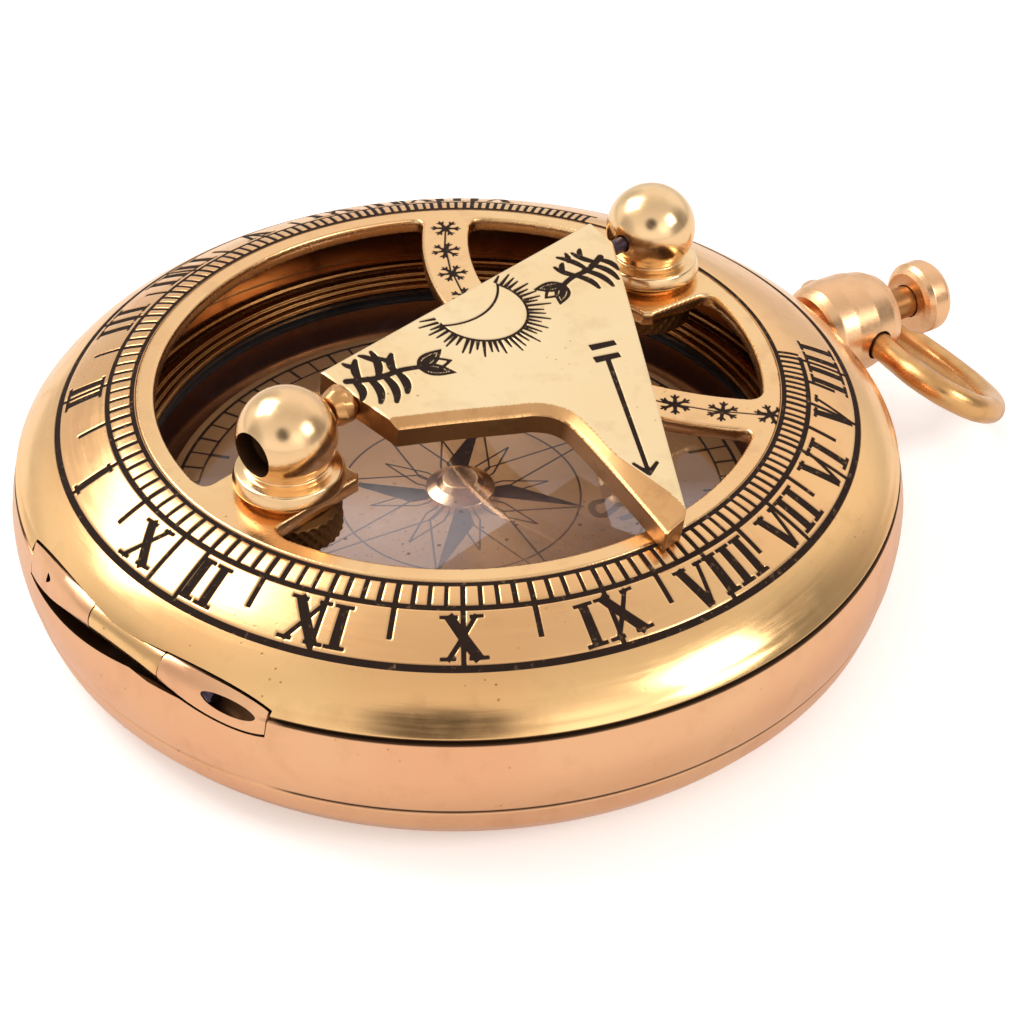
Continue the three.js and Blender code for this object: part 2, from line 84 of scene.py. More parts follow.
# ------------------------------------------------------------------ node trees
class Shader:
    """Builds one node tree. Any input takes a value or a socket to link from."""

    def __init__(self, tree):
        self.tree = tree
        tree.nodes.clear()

    def wire(self, node, inputs):
        for key, value in inputs.items():
            socket = node.inputs[key]
            if isinstance(value, bpy.types.NodeSocket):
                self.tree.links.new(value, socket)
            elif value is not None:
                socket.default_value = (*value, 1.0) if socket.type == "RGBA" else value

    def add(self, kind, inputs=None, **settings):
        node = self.tree.nodes.new("ShaderNode" + kind)
        for key, value in settings.items():
            setattr(node, key, value)
        self.wire(node, inputs or {})
        return node

    def math(self, operation, a, b=None, clamp=False):
        return self.add("Math", {0: a, 1: b}, operation=operation, use_clamp=clamp).outputs[0]

    def plus(self, a, b):
        return self.math("ADD", a, b)

    def minus(self, a, b, clamp=False):
        return self.math("SUBTRACT", a, b, clamp)

    def times(self, a, b, clamp=False):
        return self.math("MULTIPLY", a, b, clamp)

    def ramp(self, factor, *stops):
        """Grey ramp through (position, value) stops."""
        node = self.add("ValToRGB", {0: factor})
        elements = node.color_ramp.elements
        while len(elements) > 1:
            elements.remove(elements[-1])
        elements[0].position = stops[0][0]
        for i, (position, value) in enumerate(stops):
            element = elements.new(position) if i else elements[0]
            element.color = (value, value, value, 1.0)
        return node.outputs[0]

    def mix(self, factor, a, b):
        return self.add("Mix", {0: factor, 6: a, 7: b}, data_type="RGBA").outputs[2]

    def mix_shader(self, factor, a, b):
        return self.add("MixShader", {0: factor, 1: a, 2: b}).outputs[0]

    def split(self, vector):
        return self.add("SeparateXYZ", {0: vector}).outputs[:3]

    def noise(self, where, scale, detail, roughness=0.5, distortion=0.0):
        return self.add("TexNoise", {
            "Vector": where, "Scale": scale, "Detail": detail,
            "Roughness": roughness, "Distortion": distortion}).outputs["Fac"]

    def cells(self, where, scale):
        return self.add("TexVoronoi", {"Vector": where, "Scale": scale}).outputs["Distance"]

    def bump(self, height, strength, distance, normal=None):
        return self.add("Bump", {"Height": height, "Strength": strength,
                                 "Distance": distance, "Normal": normal}).outputs[0]

    def object_coords(self):
        return self.add("TexCoord").outputs["Object"]


def new_material(name):
    mat = bpy.data.materials.new(name)
    mat.use_nodes = True
    return mat, Shader(mat.node_tree)


def new_surface(name):
    mat, n = new_material(name)
    bsdf = n.add("BsdfPrincipled")
    n.add("OutputMaterial", {0: bsdf.outputs[0]})
    return mat, n, bsdf


# ------------------------------------------------------------------ brass
def scratches(n, where, grain):
    """Coarse and fine scratches, round the Z axis or along the sheet."""
    if grain == "round":
        x, y, z = n.split(where)
        radius = n.math("SQRT", n.plus(n.times(x, x), n.times(y, y)))
        around = n.times(n.math("ARCTAN2", y, x), 0.0009)
        polar = n.add("CombineXYZ", {0: radius, 1: around, 2: z}).outputs[0]
        return (n.noise(polar, scale=5200, detail=3, roughness=0.6),
                n.noise(polar, scale=15000, detail=2))
    coarse = n.add("Mapping", {"Vector": where, "Scale": (1.0, 0.12, 1.0),
                               "Rotation": (0.2, 0.3, 0.55)}).outputs[0]
    fine = n.add("Mapping", {"Vector": where, "Scale": (0.1, 1.0, 1.0),
                             "Rotation": (0, 0.2, -0.8)}).outputs[0]
    return (n.noise(coarse, scale=3600, detail=3, roughness=0.6),
            n.noise(fine, scale=9000, detail=2))


def painted_seam_shade(n, where, height, half_width, colour, roughness):
    """Painted shade along a seam: a darker, rougher line, left out round the hinge barrel."""
    x, _, z = n.split(where)
    off_seam = n.math("ABSOLUTE", n.minus(z, height * MM))
    near = n.ramp(n.math("DIVIDE", off_seam, half_width * MM * 2), (0.30, 1), (0.62, 0))
    off_hinge = n.ramp(n.plus(n.times(x, 400.0), 9.2), (0.10, 0), (0.35, 1))
    seam_shade = n.times(near, off_hinge)
    return (n.mix(n.times(seam_shade, 0.92), colour, (0.035, 0.016, 0.008)),
            n.plus(roughness, n.times(seam_shade, 0.35)))


def engraving_ink(n, bsdf, where, fine, colour, dark, roughness, metal):
    """Chipped black in the cuts, read from the mesh attribute, with a tarnished edge."""
    ink = n.add("Attribute", attribute_name="ink").outputs["Fac"]
    chips = n.ramp(n.noise(where, scale=2300, detail=4, roughness=0.7), (0.60, 0), (0.72, 1))
    cover = n.minus(n.ramp(ink, (0.30, 0), (0.62, 1)), n.times(chips, 0.22), clamp=True)
    black = n.mix(fine, (0.010, 0.005, 0.003), (0.030, 0.014, 0.008))
    halo = n.ramp(ink, (0.05, 0), (0.4, 1))
    colour = n.mix(n.times(halo, 0.35), colour, dark)
    n.wire(bsdf, {
        "Metallic": n.times(n.minus(1.0, cover), metal),
        "Specular IOR Level": n.minus(0.5, n.times(cover, 0.38)),
    })
    return (n.mix(cover, colour, black),
            n.plus(n.times(roughness, n.minus(1.0, cover)), n.times(cover, 0.75)))


def brass(name, base, warm, dark, rough, grain, tarnish, pits,
          ink=False, metal=1.0, seams=(), glow=None):
    """Worked brass: varied alloy colour, tarnish, pits, scratches, painted shade in seams and ink.
    """
    mat, n, bsdf = new_surface(name)
    where = n.object_coords()
    big = n.noise(where, scale=90, detail=3, distortion=0.4)
    mid = n.noise(where, scale=520, detail=5, roughness=0.6, distortion=0.2)
    fine = n.noise(where, scale=2600, detail=4, roughness=0.65)
    coarse_scratch, fine_scratch = scratches(n, where, grain)

    colour = n.mix(n.ramp(big, (0.36, 0), (0.66, 1)), base, warm)
    spots = n.times(n.ramp(mid, (0.52, 0), (0.74, 1)), tarnish)
    colour = n.mix(spots, colour, dark)
    pit = n.ramp(n.cells(where, scale=1500.0), (0.06, 1), (0.13, 0))
    pit_patches = n.ramp(n.noise(where, scale=210, detail=2, roughness=0.55),
                         (0.55, 0), (0.66, 1))
    pit = n.times(n.times(pit, pit_patches), pits)
    colour = n.mix(pit, colour, dark)

    roughness = n.plus(n.times(mid, 0.10), rough - 0.05)
    roughness = n.plus(roughness, n.times(n.ramp(coarse_scratch, (0.42, 0), (0.75, 1)), 0.07))
    roughness = n.plus(roughness, n.times(spots, 0.30))

    height = n.plus(n.times(coarse_scratch, 0.5), n.times(fine_scratch, 0.25))
    height = n.plus(height, n.times(fine, 0.25))
    height = n.minus(height, n.times(pit, 1.4))
    waves = n.bump(n.noise(where, scale=160, detail=2, roughness=0.45),
                   strength=0.32, distance=0.00010)
    n.wire(bsdf, {"Normal": n.bump(height, strength=0.22, distance=0.00002, normal=waves)})

    # painted shade along each seam
    for seam_z, half_width in seams:
        colour, roughness = painted_seam_shade(n, where, seam_z, half_width, colour, roughness)
    if ink:
        colour, roughness = engraving_ink(n, bsdf, where, fine, colour, dark, roughness, metal)
    else:
        n.wire(bsdf, {"Metallic": metal})
    n.wire(bsdf, {"Base Color": colour, "Roughness": roughness})
    if glow is not None:
        n.wire(bsdf, {"Emission Color": colour, "Emission Strength": glow})
    return mat


INKED = {"ink": True}
# material: base, warm and dark colours, roughness, grain, tarnish, pits, other arguments
# seams are (height, half width) in mm, lines of painted shade
BRASSES = {
    "dial": ((0.93, 0.58, 0.27), (0.90, 0.51, 0.23), (0.40, 0.18, 0.07),
             0.21, "round", 0.20, 0.6, INKED),
    "lid": ((0.94, 0.60, 0.27), (0.91, 0.53, 0.23), (0.42, 0.20, 0.08),
            0.17, "round", 0.16, 0.9, {"seams": ((8.03, 0.11),)}),
    "lidplate": ((0.92, 0.62, 0.31), (0.89, 0.54, 0.26), (0.38, 0.18, 0.07),
                 0.22, "flat", 0.24, 0.7, INKED),
    "plate": ((0.96, 0.76, 0.46), (0.93, 0.69, 0.38), (0.50, 0.28, 0.12),
              0.31, "flat", 0.26, 1.0, INKED),
    "bevel": ((0.74, 0.42, 0.18), (0.62, 0.33, 0.13), (0.26, 0.12, 0.04),
              0.30, "flat", 0.45, 0.8, {}),
    "edge": ((0.42, 0.22, 0.09), (0.30, 0.145, 0.055), (0.10, 0.045, 0.016),
             0.38, "flat", 0.60, 1.0, {}),
    "post": ((0.94, 0.68, 0.38), (0.91, 0.58, 0.30), (0.42, 0.20, 0.07),
             0.17, "flat", 0.18, 0.7, {}),
    "case": ((0.88, 0.51, 0.28), (0.85, 0.45, 0.245), (0.46, 0.21, 0.10),
             0.29, "round", 0.16, 0.8, {"seams": ((7.86, 0.10), (3.50, 0.15))}),
    "neck": ((0.91, 0.58, 0.32), (0.88, 0.51, 0.27), (0.42, 0.20, 0.09),
             0.27, "flat", 0.22, 0.7, {}),
    "bow": ((0.76, 0.45, 0.19), (0.72, 0.39, 0.15), (0.28, 0.12, 0.04),
            0.26, "flat", 0.34, 0.8, {}),
    "tarnished": ((0.26, 0.13, 0.045), (0.13, 0.06, 0.02), (0.03, 0.015, 0.008),
                  0.50, "flat", 0.95, 1.0, {}),
    "inside": ((0.50, 0.25, 0.09), (0.34, 0.15, 0.05), (0.10, 0.045, 0.018),
               0.32, "round", 0.55, 0.6, {}),
    "bezel": ((0.60, 0.34, 0.13), (0.46, 0.22, 0.07), (0.12, 0.055, 0.02),
              0.26, "round", 0.40, 0.5, {}),
    # the card is pale and glows a little, as if by light scattered under the glass
    "card": ((0.52, 0.30, 0.12), (0.42, 0.22, 0.08), (0.20, 0.09, 0.03),
             0.58, "flat", 0.22, 0.4, {"ink": True, "metal": 0.05, "glow": 0.10}),
    # hole: near-black brass for the faces of bores, coves, slots, dimples and the case webs,
    # painted shade
    "hole": ((0.10, 0.045, 0.02), (0.05, 0.022, 0.01), (0.015, 0.008, 0.004),
             0.55, "flat", 0.8, 0.6, {}),
}


# ------------------------------------------------------------------ steel, gasket, glass
def steel(name, base, dark, rough):
    mat, n, bsdf = new_surface(name)
    where = n.object_coords()
    mottle = n.noise(where, scale=900.0, detail=6.0, roughness=0.65)
    stretched = n.add("Mapping", {"Vector": where, "Scale": (1, 0.08, 1)}).outputs[0]
    n.wire(bsdf, {
        "Base Color": n.mix(n.ramp(mottle, (0.4, 0), (0.7, 1)), base, dark),
        "Roughness": n.plus(n.times(mottle, 0.25), rough - 0.1),
        "Normal": n.bump(n.noise(stretched, scale=6000.0, detail=3.0),
                         strength=0.3, distance=0.00002),
        "Metallic": 1.0,
    })
    return mat


def gasket_material():
    mat, n, bsdf = new_surface("gasket")
    grain = n.noise(None, scale=3000.0, detail=5.0)
    n.wire(bsdf, {
        "Base Color": n.mix(grain, (0.012, 0.012, 0.012), (0.03, 0.028, 0.026)),
        "Roughness": 0.85,
        "Normal": n.bump(grain, strength=0.4, distance=0.00003),
    })
    return mat


def glass_material():
    """Clear flat glass that reflects more at a slant, with dust specks and faint smears, and a
    painted reflection on the half nearest the camera.
    """
    mat, n = new_material("clear_glass")
    where = n.object_coords()
    geometry = n.add("NewGeometry")
    position = geometry.outputs["Position"]

    # painted reflection and haze: the half nearest the camera reflects more and shows more smears
    # and dust; the far half stays clear
    x, y, _ = n.split(position)
    away = n.plus(n.times(x, math.sin(VIEW_TURN) * 1000), n.times(y, math.cos(VIEW_TURN) * 1000))
    ragged = n.minus(n.noise(position, scale=260.0, detail=3.0), 0.5)
    away = n.plus(away, n.times(ragged, 3.0))
    painted_sheen = n.ramp(n.plus(n.times(away, 0.05), 0.5), (0.24, 1.0), (0.40, 0.0))

    clear = n.add("BsdfTransparent", {"Color": (0.90, 0.88, 0.91)}).outputs[0]
    mirror = n.add("BsdfAnisotropic", {"Color": (0.98, 0.91, 0.95), "Roughness": 0.03}).outputs[0]
    fresnel = n.add("Fresnel", {"IOR": 1.52}).outputs[0]
    reflect = n.times(fresnel, n.plus(n.times(painted_sheen, 2.3), 0.85), clamp=True)
    pane = n.mix_shader(reflect, clear, mirror)

    smears = n.ramp(n.noise(where, scale=140.0, detail=6.0, roughness=0.7),
                    (0.35, 0.35), (0.75, 1))
    fine_haze = n.ramp(n.noise(where, scale=2200.0, detail=5.0, roughness=0.8),
                       (0.35, 0.45), (0.65, 1))
    haze = n.times(n.times(smears, fine_haze), n.plus(n.times(painted_sheen, 0.40), 0.03))
    pane = n.mix_shader(haze, pane, n.add("BsdfDiffuse", {"Color": (0.70, 0.60, 0.62)}).outputs[0])

    large_specks = n.ramp(n.cells(where, scale=900.0), (0.07, 1), (0.13, 0))
    small_specks = n.ramp(n.cells(where, scale=2300.0), (0.07, 1), (0.14, 0))
    specks = n.math("MAXIMUM", large_specks, n.times(small_specks, 0.7))
    dust = n.times(specks, n.plus(n.times(painted_sheen, 0.5), 0.15))
    pane = n.mix_shader(dust, pane, n.add("BsdfDiffuse", {"Color": (0.10, 0.07, 0.08)}).outputs[0])

    # seen from inside the pane, a face only lets light through
    within = n.add("BsdfTransparent", {"Color": (0.97, 0.96, 0.96)}).outputs[0]
    n.add("OutputMaterial", {0: n.mix_shader(geometry.outputs["Backfacing"], pane, within)})
    return mat


MAT = {key: brass("brass_" + key, *row[:-1], **row[-1]) for key, row in BRASSES.items()}
MAT["steel"] = steel("spring_steel", base=(0.42, 0.42, 0.45), dark=(0.20, 0.19, 0.20), rough=0.3)
MAT["pin"] = steel("dark_steel", base=(0.085, 0.06, 0.085), dark=(0.03, 0.02, 0.025), rough=0.34)
MAT["gasket"] = gasket_material()
MAT["glass"] = glass_material()


# ------------------------------------------------------------------ mesh tools
def shade_smooth(mesh):
    mesh.polygons.foreach_set("use_smooth", np.ones(len(mesh.polygons), bool))


def make(name, verts, faces, mat, ink=None):
    """A smooth object from points in mm, with an optional ink value at each point."""
    mesh = bpy.data.meshes.new(name)
    mesh.from_pydata((np.asarray(verts, float) * MM).tolist(), [], faces)
    mesh.update()
    if ink is not None:
        layer = mesh.attributes.new("ink", "FLOAT", "POINT")
        layer.data.foreach_set("value", np.asarray(ink, np.float32))
    ob = bpy.data.objects.new(name, mesh)
    bpy.context.scene.collection.objects.link(ob)
    mesh.materials.append(mat)
    shade_smooth(mesh)
    return ob


@contextmanager
def editing(ob):
    bm = bmesh.new()
    bm.from_mesh(ob.data)
    yield bm
    bm.to_mesh(ob.data)
    bm.free()


def read_vectors(items, key):
    """Vectors of a mesh collection as an array."""
    flat = np.zeros(len(items) * 3)
    items.foreach_get(key, flat)
    return flat.reshape(-1, 3)


def cleanup(ob):
    """Merge doubled points, drop loose ones and face everything outwards."""
    with editing(ob) as bm:
        bmesh.ops.remove_doubles(bm, verts=bm.verts, dist=1e-7)
        loose = [v for v in bm.verts if not v.link_faces]
        bmesh.ops.delete(bm, geom=loose, context="VERTS")
        bmesh.ops.recalc_face_normals(bm, faces=bm.faces)
    shade_smooth(ob.data)


def bevel(bm, edges, size, segments):
    bmesh.ops.bevel(bm, geom=edges, offset=size * MM, segments=segments, profile=0.5,
                    affect="EDGES")


def sharp(ob, degrees):
    """Keep curved faces smooth and corners crisp."""
    limit = rad(degrees)
    with editing(ob) as bm:
        for e in bm.edges:
            e.smooth = not (len(e.link_faces) != 2 or e.calc_face_angle(0) > limit)
    shade_smooth(ob.data)


def boolean(ob, tool, operation="DIFFERENCE", own=False):
    """Apply a tool object and remove it. With own, its faces bring their own material."""
    modifier = ob.modifiers.new("b", "BOOLEAN")
    if own:
        modifier.material_mode = "TRANSFER"
    modifier.operation = operation
    modifier.object = tool
    modifier.solver = "EXACT"
    depsgraph = bpy.context.evaluated_depsgraph_get()
    mesh = bpy.data.meshes.new_from_object(ob.evaluated_get(depsgraph), depsgraph=depsgraph)
    ob.modifiers.clear()
    ob.data = mesh
    bpy.data.objects.remove(tool)


def fit(ob, body, slot, *nodes, crease=None):
    """Crease the object, attach it to its body and hide the named pieces of the frame."""
    if crease:
        sharp(ob, crease)
    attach(ob, body)
    if nodes:
        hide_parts(*nodes)


def turn_z(ob, angle, about=(0, 0, 0)):
    pivot = Vector(about) * MM
    ob.data.transform(Matrix.Translation(pivot) @ Matrix.Rotation(angle, 4, "Z")
                      @ Matrix.Translation(-pivot))
    return ob


def fillet(points, closed, seg=5):
    """Round the corners of an (r, z[, corner radius]) profile, with holding points beside."""
    out = []
    n = len(points)
    for i, (r, z, *corner) in enumerate(points):
        here = np.array((r, z), float)
        radius = corner[0] if corner else 0.0
        if radius <= 0 or (not closed and i in (0, n - 1)):
            out.append(here)
            continue
        back = np.array(points[i - 1][:2], float) - here
        ahead = np.array(points[(i + 1) % n][:2], float) - here
        back_len, ahead_len = np.linalg.norm(back), np.linalg.norm(ahead)
        if min(back_len, ahead_len) < 1e-6:
            out.append(here)
            continue
        back, ahead = back / back_len, ahead / ahead_len
        angle = math.acos(float(np.clip(back @ ahead, -1, 1)))
        if angle > math.pi - 0.02:
            out.append(here)
            continue
        cut = min(radius / math.tan(angle / 2), 0.45 * back_len, 0.45 * ahead_len)
        radius = cut * math.tan(angle / 2)
        bisector = back + ahead
        bisector /= np.linalg.norm(bisector)
        centre = here + bisector * (radius / math.sin(angle / 2))
        x0, y0 = here + back * cut - centre
        x1, y1 = here + ahead * cut - centre
        sweep = (math.pi - angle) * (1 if x0 * y1 - y0 * x1 > 0 else -1)
        if back_len - cut > 0.12:
            out.append(here + back * (cut + 0.05))
        for j in range(seg + 1):
            c, s = math.cos(sweep * j / seg), math.sin(sweep * j / seg)
            out.append(centre + np.array([x0 * c - y0 * s, x0 * s + y0 * c]))
        if ahead_len - cut > 0.12:
            out.append(here + ahead * (cut + 0.05))
    return np.array(out)


def lathe(name, points, mat, seg, closed=None, axis="z", at=(0, 0, 0), flip=1, ripple=None):
    """Revolve an (r, z, corner radius) profile about an axis.

    A profile that starts on the axis is open, unless closed says otherwise. flip = -1 mirrors
    the piece in X before it is moved. ripple gives new radii from radii, heights and angles.
    """
    if closed is None:
        closed = points[0][0] > 1e-6
    profile = fillet(points, closed)
    m = len(profile)
    radius, height = (np.repeat(column[None], seg, 0) for column in profile.T)
    angle = np.repeat(np.linspace(0, 2 * math.pi, seg, endpoint=False)[:, None], m, 1)
    if ripple is not None:
        radius = ripple(radius, height, angle)
    verts = np.stack([radius * np.cos(angle), radius * np.sin(angle), height], -1).reshape(-1, 3)

    starts_on_axis = not closed and profile[0, 0] < 1e-6
    ends_on_axis = not closed and profile[-1, 0] < 1e-6
    faces = []
    for i in range(seg):
        i2 = (i + 1) % seg
        for j in range(m if closed else m - 1):
            j2 = (j + 1) % m
            a, b, c, d = i * m + j, i2 * m + j, i2 * m + j2, i * m + j2
            if starts_on_axis and j == 0:
                faces.append((0, c, d))
            elif ends_on_axis and j2 == m - 1:
                faces.append((a, b, m - 1))
            else:
                faces.append((a, b, c, d))
    r, z = profile.T
    if np.sum(r * np.roll(z, -1) - np.roll(r, -1) * z) < 0:
        faces = [tuple(reversed(face)) for face in faces]

    x, y, z = verts.T
    if axis == "x":
        verts = np.stack([z, y, -x], -1)
    elif axis == "y":
        verts = np.stack([x, z, -y], -1)
    verts[:, 0] *= flip
    ob = make(name, verts + np.array(at), faces, mat)
    cleanup(ob)
    return ob


def rod(radius, start, end, mat, seg, **place):
    """A plain cylinder used as a tool."""
    return lathe("rod", [(0, start), (radius, start), (radius, end), (0, end)], mat, seg, **place)


def hinge_rod(radius, y0, y1, mat, seg):
    return rod(radius, y0, y1, mat, seg, axis="y", at=HINGE_AT)


def box(x0, x1, y0, y1, z0, z1, mat, edge=0.0):
    """A block used as a tool, with rounded edges if edge is given."""
    ob = make("box", [(x, y, z) for x in (x0, x1) for y in (y0, y1) for z in (z0, z1)],
              [(0, 1, 3, 2), (4, 6, 7, 5), (0, 4, 5, 1), (2, 3, 7, 6), (0, 2, 6, 4), (1, 5, 7, 3)],
              mat)
    with editing(ob) as bm:
        bmesh.ops.recalc_face_normals(bm, faces=bm.faces)
        if edge:
            bevel(bm, list(bm.edges), edge, segments=3)
    sharp(ob, 35)
    return ob


def engraved_ring(name, radius, angle, height, under, ink, mat):
    """A ring from a polar grid of heights, closed below by the (r, z) points of under."""
    count = len(radius)
    radius = np.hstack([radius, np.repeat(under[None, :, 0], count, 0)])
    height = np.hstack([height, np.repeat(under[None, :, 1], count, 0)])
    ink = np.hstack([ink, np.zeros((count, len(under)))])
    m = radius.shape[1]
    a = angle[:, :1]
    verts = np.stack([radius * np.cos(a), radius * np.sin(a), height], -1).reshape(-1, 3)
    i, j = np.arange(count)[:, None], np.arange(m)[None, :]
    i2, j2 = (i + 1) % count, (j + 1) % m
    faces = np.stack([i * m + j, i * m + j2, i2 * m + j2, i2 * m + j], -1).reshape(-1, 4)
    return make(name, verts, faces.tolist(), mat, ink=ink.ravel())


def polar_grid(radii, count):
    return np.meshgrid(radii, np.linspace(0, 2 * math.pi, count, endpoint=False))


def sheet(name, dist, x0, x1, y0, y1, step, mat, top, bottom, edge_r, ink=None, carve=0.0):
    """A closed flat piece. dist(x, y) is negative inside; top(x, y) and bottom are heights.

    The rim is snapped to the outline and rounded; ink is sunk into the top by carve.
    """
    nx, ny = int((x1 - x0) / step) + 1, int((y1 - y0) / step) + 1
    X, Y = np.meshgrid(x0 + np.arange(nx) * step, y0 + np.arange(ny) * step, indexing="ij")
    corners = ((0, 0), (1, 0), (1, 1), (0, 1))
    # a cell is kept where all its corners lie inside, or near enough to pull onto the outline
    near = dist(X, Y) < 0.35 * step
    cell = near[:-1, :-1] & near[1:, :-1] & near[1:, 1:] & near[:-1, 1:]
    cells_round = np.zeros(near.shape, int)
    for a, b in corners:
        cells_round[a:nx - 1 + a, b:ny - 1 + b] += cell
    used = cells_round > 0
    rim = used & (cells_round < 4)

    grid = np.stack([X, Y], -1)
    e = 0.02
    for _ in range(4):
        px, py = grid[rim].T
        d = dist(px, py)
        gx = (dist(px + e, py) - dist(px - e, py)) / (2 * e)
        gy = (dist(px, py + e) - dist(px, py - e)) / (2 * e)
        q = gx * gx + gy * gy + 1e-9
        grid[rim] = np.stack([px - d * gx / q, py - d * gy / q], -1)

    index = -np.ones(near.shape, int)
    index[used] = np.arange(used.sum())
    x, y = grid[used].T
    depth = np.where(rim[used], 0.0, np.minimum(dist(x, y), 0))
    inset = np.clip(1 + depth / edge_r, 0, 1)
    drop = edge_r * (1 - np.sqrt(np.clip(1 - inset ** 2, 0, 1)))
    shade = ink(x, y) if ink is not None else np.zeros(len(x))
    upper = np.column_stack([x, y, top(x, y) - drop * 0.75 - carve * shade])
    lower = np.column_stack([x, y, bottom + drop * 0.5])

    n = len(x)
    ci, cj = np.nonzero(cell)
    a, b, c, d = (index[ci + i, cj + j] for i, j in corners)
    top_faces = np.stack([a, b, c, d], -1)
    bottom_faces = np.stack([a, d, c, b], -1) + n
    # side walls stand on the edges that no second cell shares
    edges = np.concatenate([np.stack(pair, -1) for pair in ((a, b), (b, c), (c, d), (d, a))])
    key = edges[:, 0].astype(np.int64) * (n + 1) + edges[:, 1]
    reverse = edges[:, 1].astype(np.int64) * (n + 1) + edges[:, 0]
    p, q = edges[~np.isin(key, reverse)].T
    sides = np.stack([q, p, p + n, q + n], -1)
    return make(name, np.vstack([upper, lower]),
                np.vstack([top_faces, bottom_faces, sides]).tolist(), mat,
                ink=np.concatenate([shade, np.zeros(n)]))


def paint_shade_inward(ob):
    """Painted shade: faces that look inwards or down take the dark brass of the inside."""
    mesh = ob.data
    mesh.materials.append(MAT["inside"])
    centre = read_vectors(mesh.polygons, "center") / MM
    normal = read_vectors(mesh.polygons, "normal")
    index = np.zeros(len(mesh.polygons), np.int32)
    mesh.polygons.foreach_get("material_index", index)
    r = np.hypot(centre[:, 0], centre[:, 1])
    outward = (normal[:, 0] * centre[:, 0] + normal[:, 1] * centre[:, 1]) / np.maximum(r, 1e-6)
    hidden = (normal[:, 2] < -0.25) | ((outward < -0.6) & (centre[:, 2] < 11.9))
    index[hidden & (index == 0) & (r > 17.0) & (r < 23.9)] = len(mesh.materials) - 1
    mesh.polygons.foreach_set("material_index", index)


# ------------------------------------------------------------------ curves and distance fields
FAR = 9.0       # distance used where a mark has no effect


def along(px, py, x0, y0, x1, y1):
    """Position along and across a line, and the line's length."""
    dx, dy = x1 - x0, y1 - y0
    length = math.hypot(dx, dy) + 1e-9
    ux, uy = dx / length, dy / length
    return ((px - x0) * ux + (py - y0) * uy, -(px - x0) * uy + (py - y0) * ux, length)


def stroke(px, py, x0, y0, x1, y1, w0, w1=None, soft=False):
    """Signed distance to a stroke of half widths w0 to w1, with square or soft round ends."""
    w1 = w0 if w1 is None else w1
    s, t, length = along(px, py, x0, y0, x1, y1)
    half = w0 + (w1 - w0) * np.clip(s / length, 0, 1)
    if soft:
        return np.hypot(s - np.clip(s, 0, length), t) - half
    ex = np.maximum(-s, s - length)
    ey = np.abs(t) - half
    return np.where((ex > 0) & (ey > 0), np.hypot(ex, ey), np.maximum(ex, ey))


def cover(d, soft):
    """Ink from signed distance, fading over soft on both sides of the edge."""
    return np.clip(0.5 - d / (2 * soft), 0, 1)


def edge_distance2(x, y, ax, ay, bx, by):
    """Squared distance to a line from a to b."""
    ex, ey = bx - ax, by - ay
    wx, wy = x - ax, y - ay
    t = np.clip((wx * ex + wy * ey) / (ex * ex + ey * ey), 0, 1)
    return (wx - t * ex) ** 2 + (wy - t * ey) ** 2


def polygon_distance(points):
    """A function for the signed distance to a closed polygon, negative inside."""
    q = np.array(points, float)

    def dist(x, y):
        d = np.full(x.shape, 1e9)
        inside = np.zeros(x.shape, bool)
        for (ax, ay), (bx, by) in zip(q, np.roll(q, -1, 0)):
            d = np.minimum(d, edge_distance2(x, y, ax, ay, bx, by))
            rise = by - ay if abs(by - ay) > 1e-12 else 1e-12
            inside ^= ((ay > y) != (by > y)) & (x < ax + (y - ay) * (bx - ax) / rise)
        d = np.sqrt(d)
        return np.where(inside, -d, d)
    return dist


def smooth_min(a, b, k):
    h = np.clip(0.5 + 0.5 * (b - a) / k, 0, 1)
    return b * (1 - h) + a * h - k * h * (1 - h)


def catmull(points, steps):
    """A smooth line through all the points."""
    P = [np.array(p, float) for p in points]
    last = len(P) - 1
    out = []
    for i in range(last):
        p0, p1, p2, p3 = P[max(i - 1, 0)], P[i], P[i + 1], P[min(i + 2, last)]
        for t in np.linspace(0, 1, steps, endpoint=False):
            out.append(0.5 * ((2 * p1) + (-p0 + p2) * t
                              + (2 * p0 - 5 * p1 + 4 * p2 - p3) * t * t
                              + (-p0 + 3 * p1 - 3 * p2 + p3) * t ** 3))
    out.append(P[-1])
    return np.array(out)


def centripetal(points, steps=12):
    """A smooth line through all the points, with knots spaced by the root of the distance."""
    Q = [np.array(q, float) for q in points]
    Q = [2 * Q[0] - Q[1]] + Q + [2 * Q[-1] - Q[-2]]
    out = []

    def blend(a, b, ta, tb, t):
        return (tb - t) / (tb - ta) * a + (t - ta) / (tb - ta) * b

    for p0, p1, p2, p3 in zip(Q, Q[1:], Q[2:], Q[3:]):
        t0 = 0
        t1 = t0 + np.linalg.norm(p1 - p0) ** 0.5
        t2 = t1 + np.linalg.norm(p2 - p1) ** 0.5
        t3 = t2 + np.linalg.norm(p3 - p2) ** 0.5
        for s in np.linspace(0, 1, steps, endpoint=False):
            t = t1 + (t2 - t1) * s
            a = blend(p0, p1, t0, t1, t)
            b = blend(p1, p2, t1, t2, t)
            c = blend(p2, p3, t2, t3, t)
            out.append(blend(blend(a, b, t0, t2, t), blend(b, c, t1, t3, t), t1, t2, t))
    out.append(Q[-2])
    return np.array(out)


# ------------------------------------------------------------------ engraved dial ring
HEAVY, LIGHT, SERIF = 0.118, 0.056, 0.042       # half widths for a letter one unit high
TOP_SERIFS = [(0.0, 1 - SERIF, 0.42, 1 - SERIF, SERIF), (0.68, 1 - SERIF, 1.0, 1 - SERIF, SERIF)]
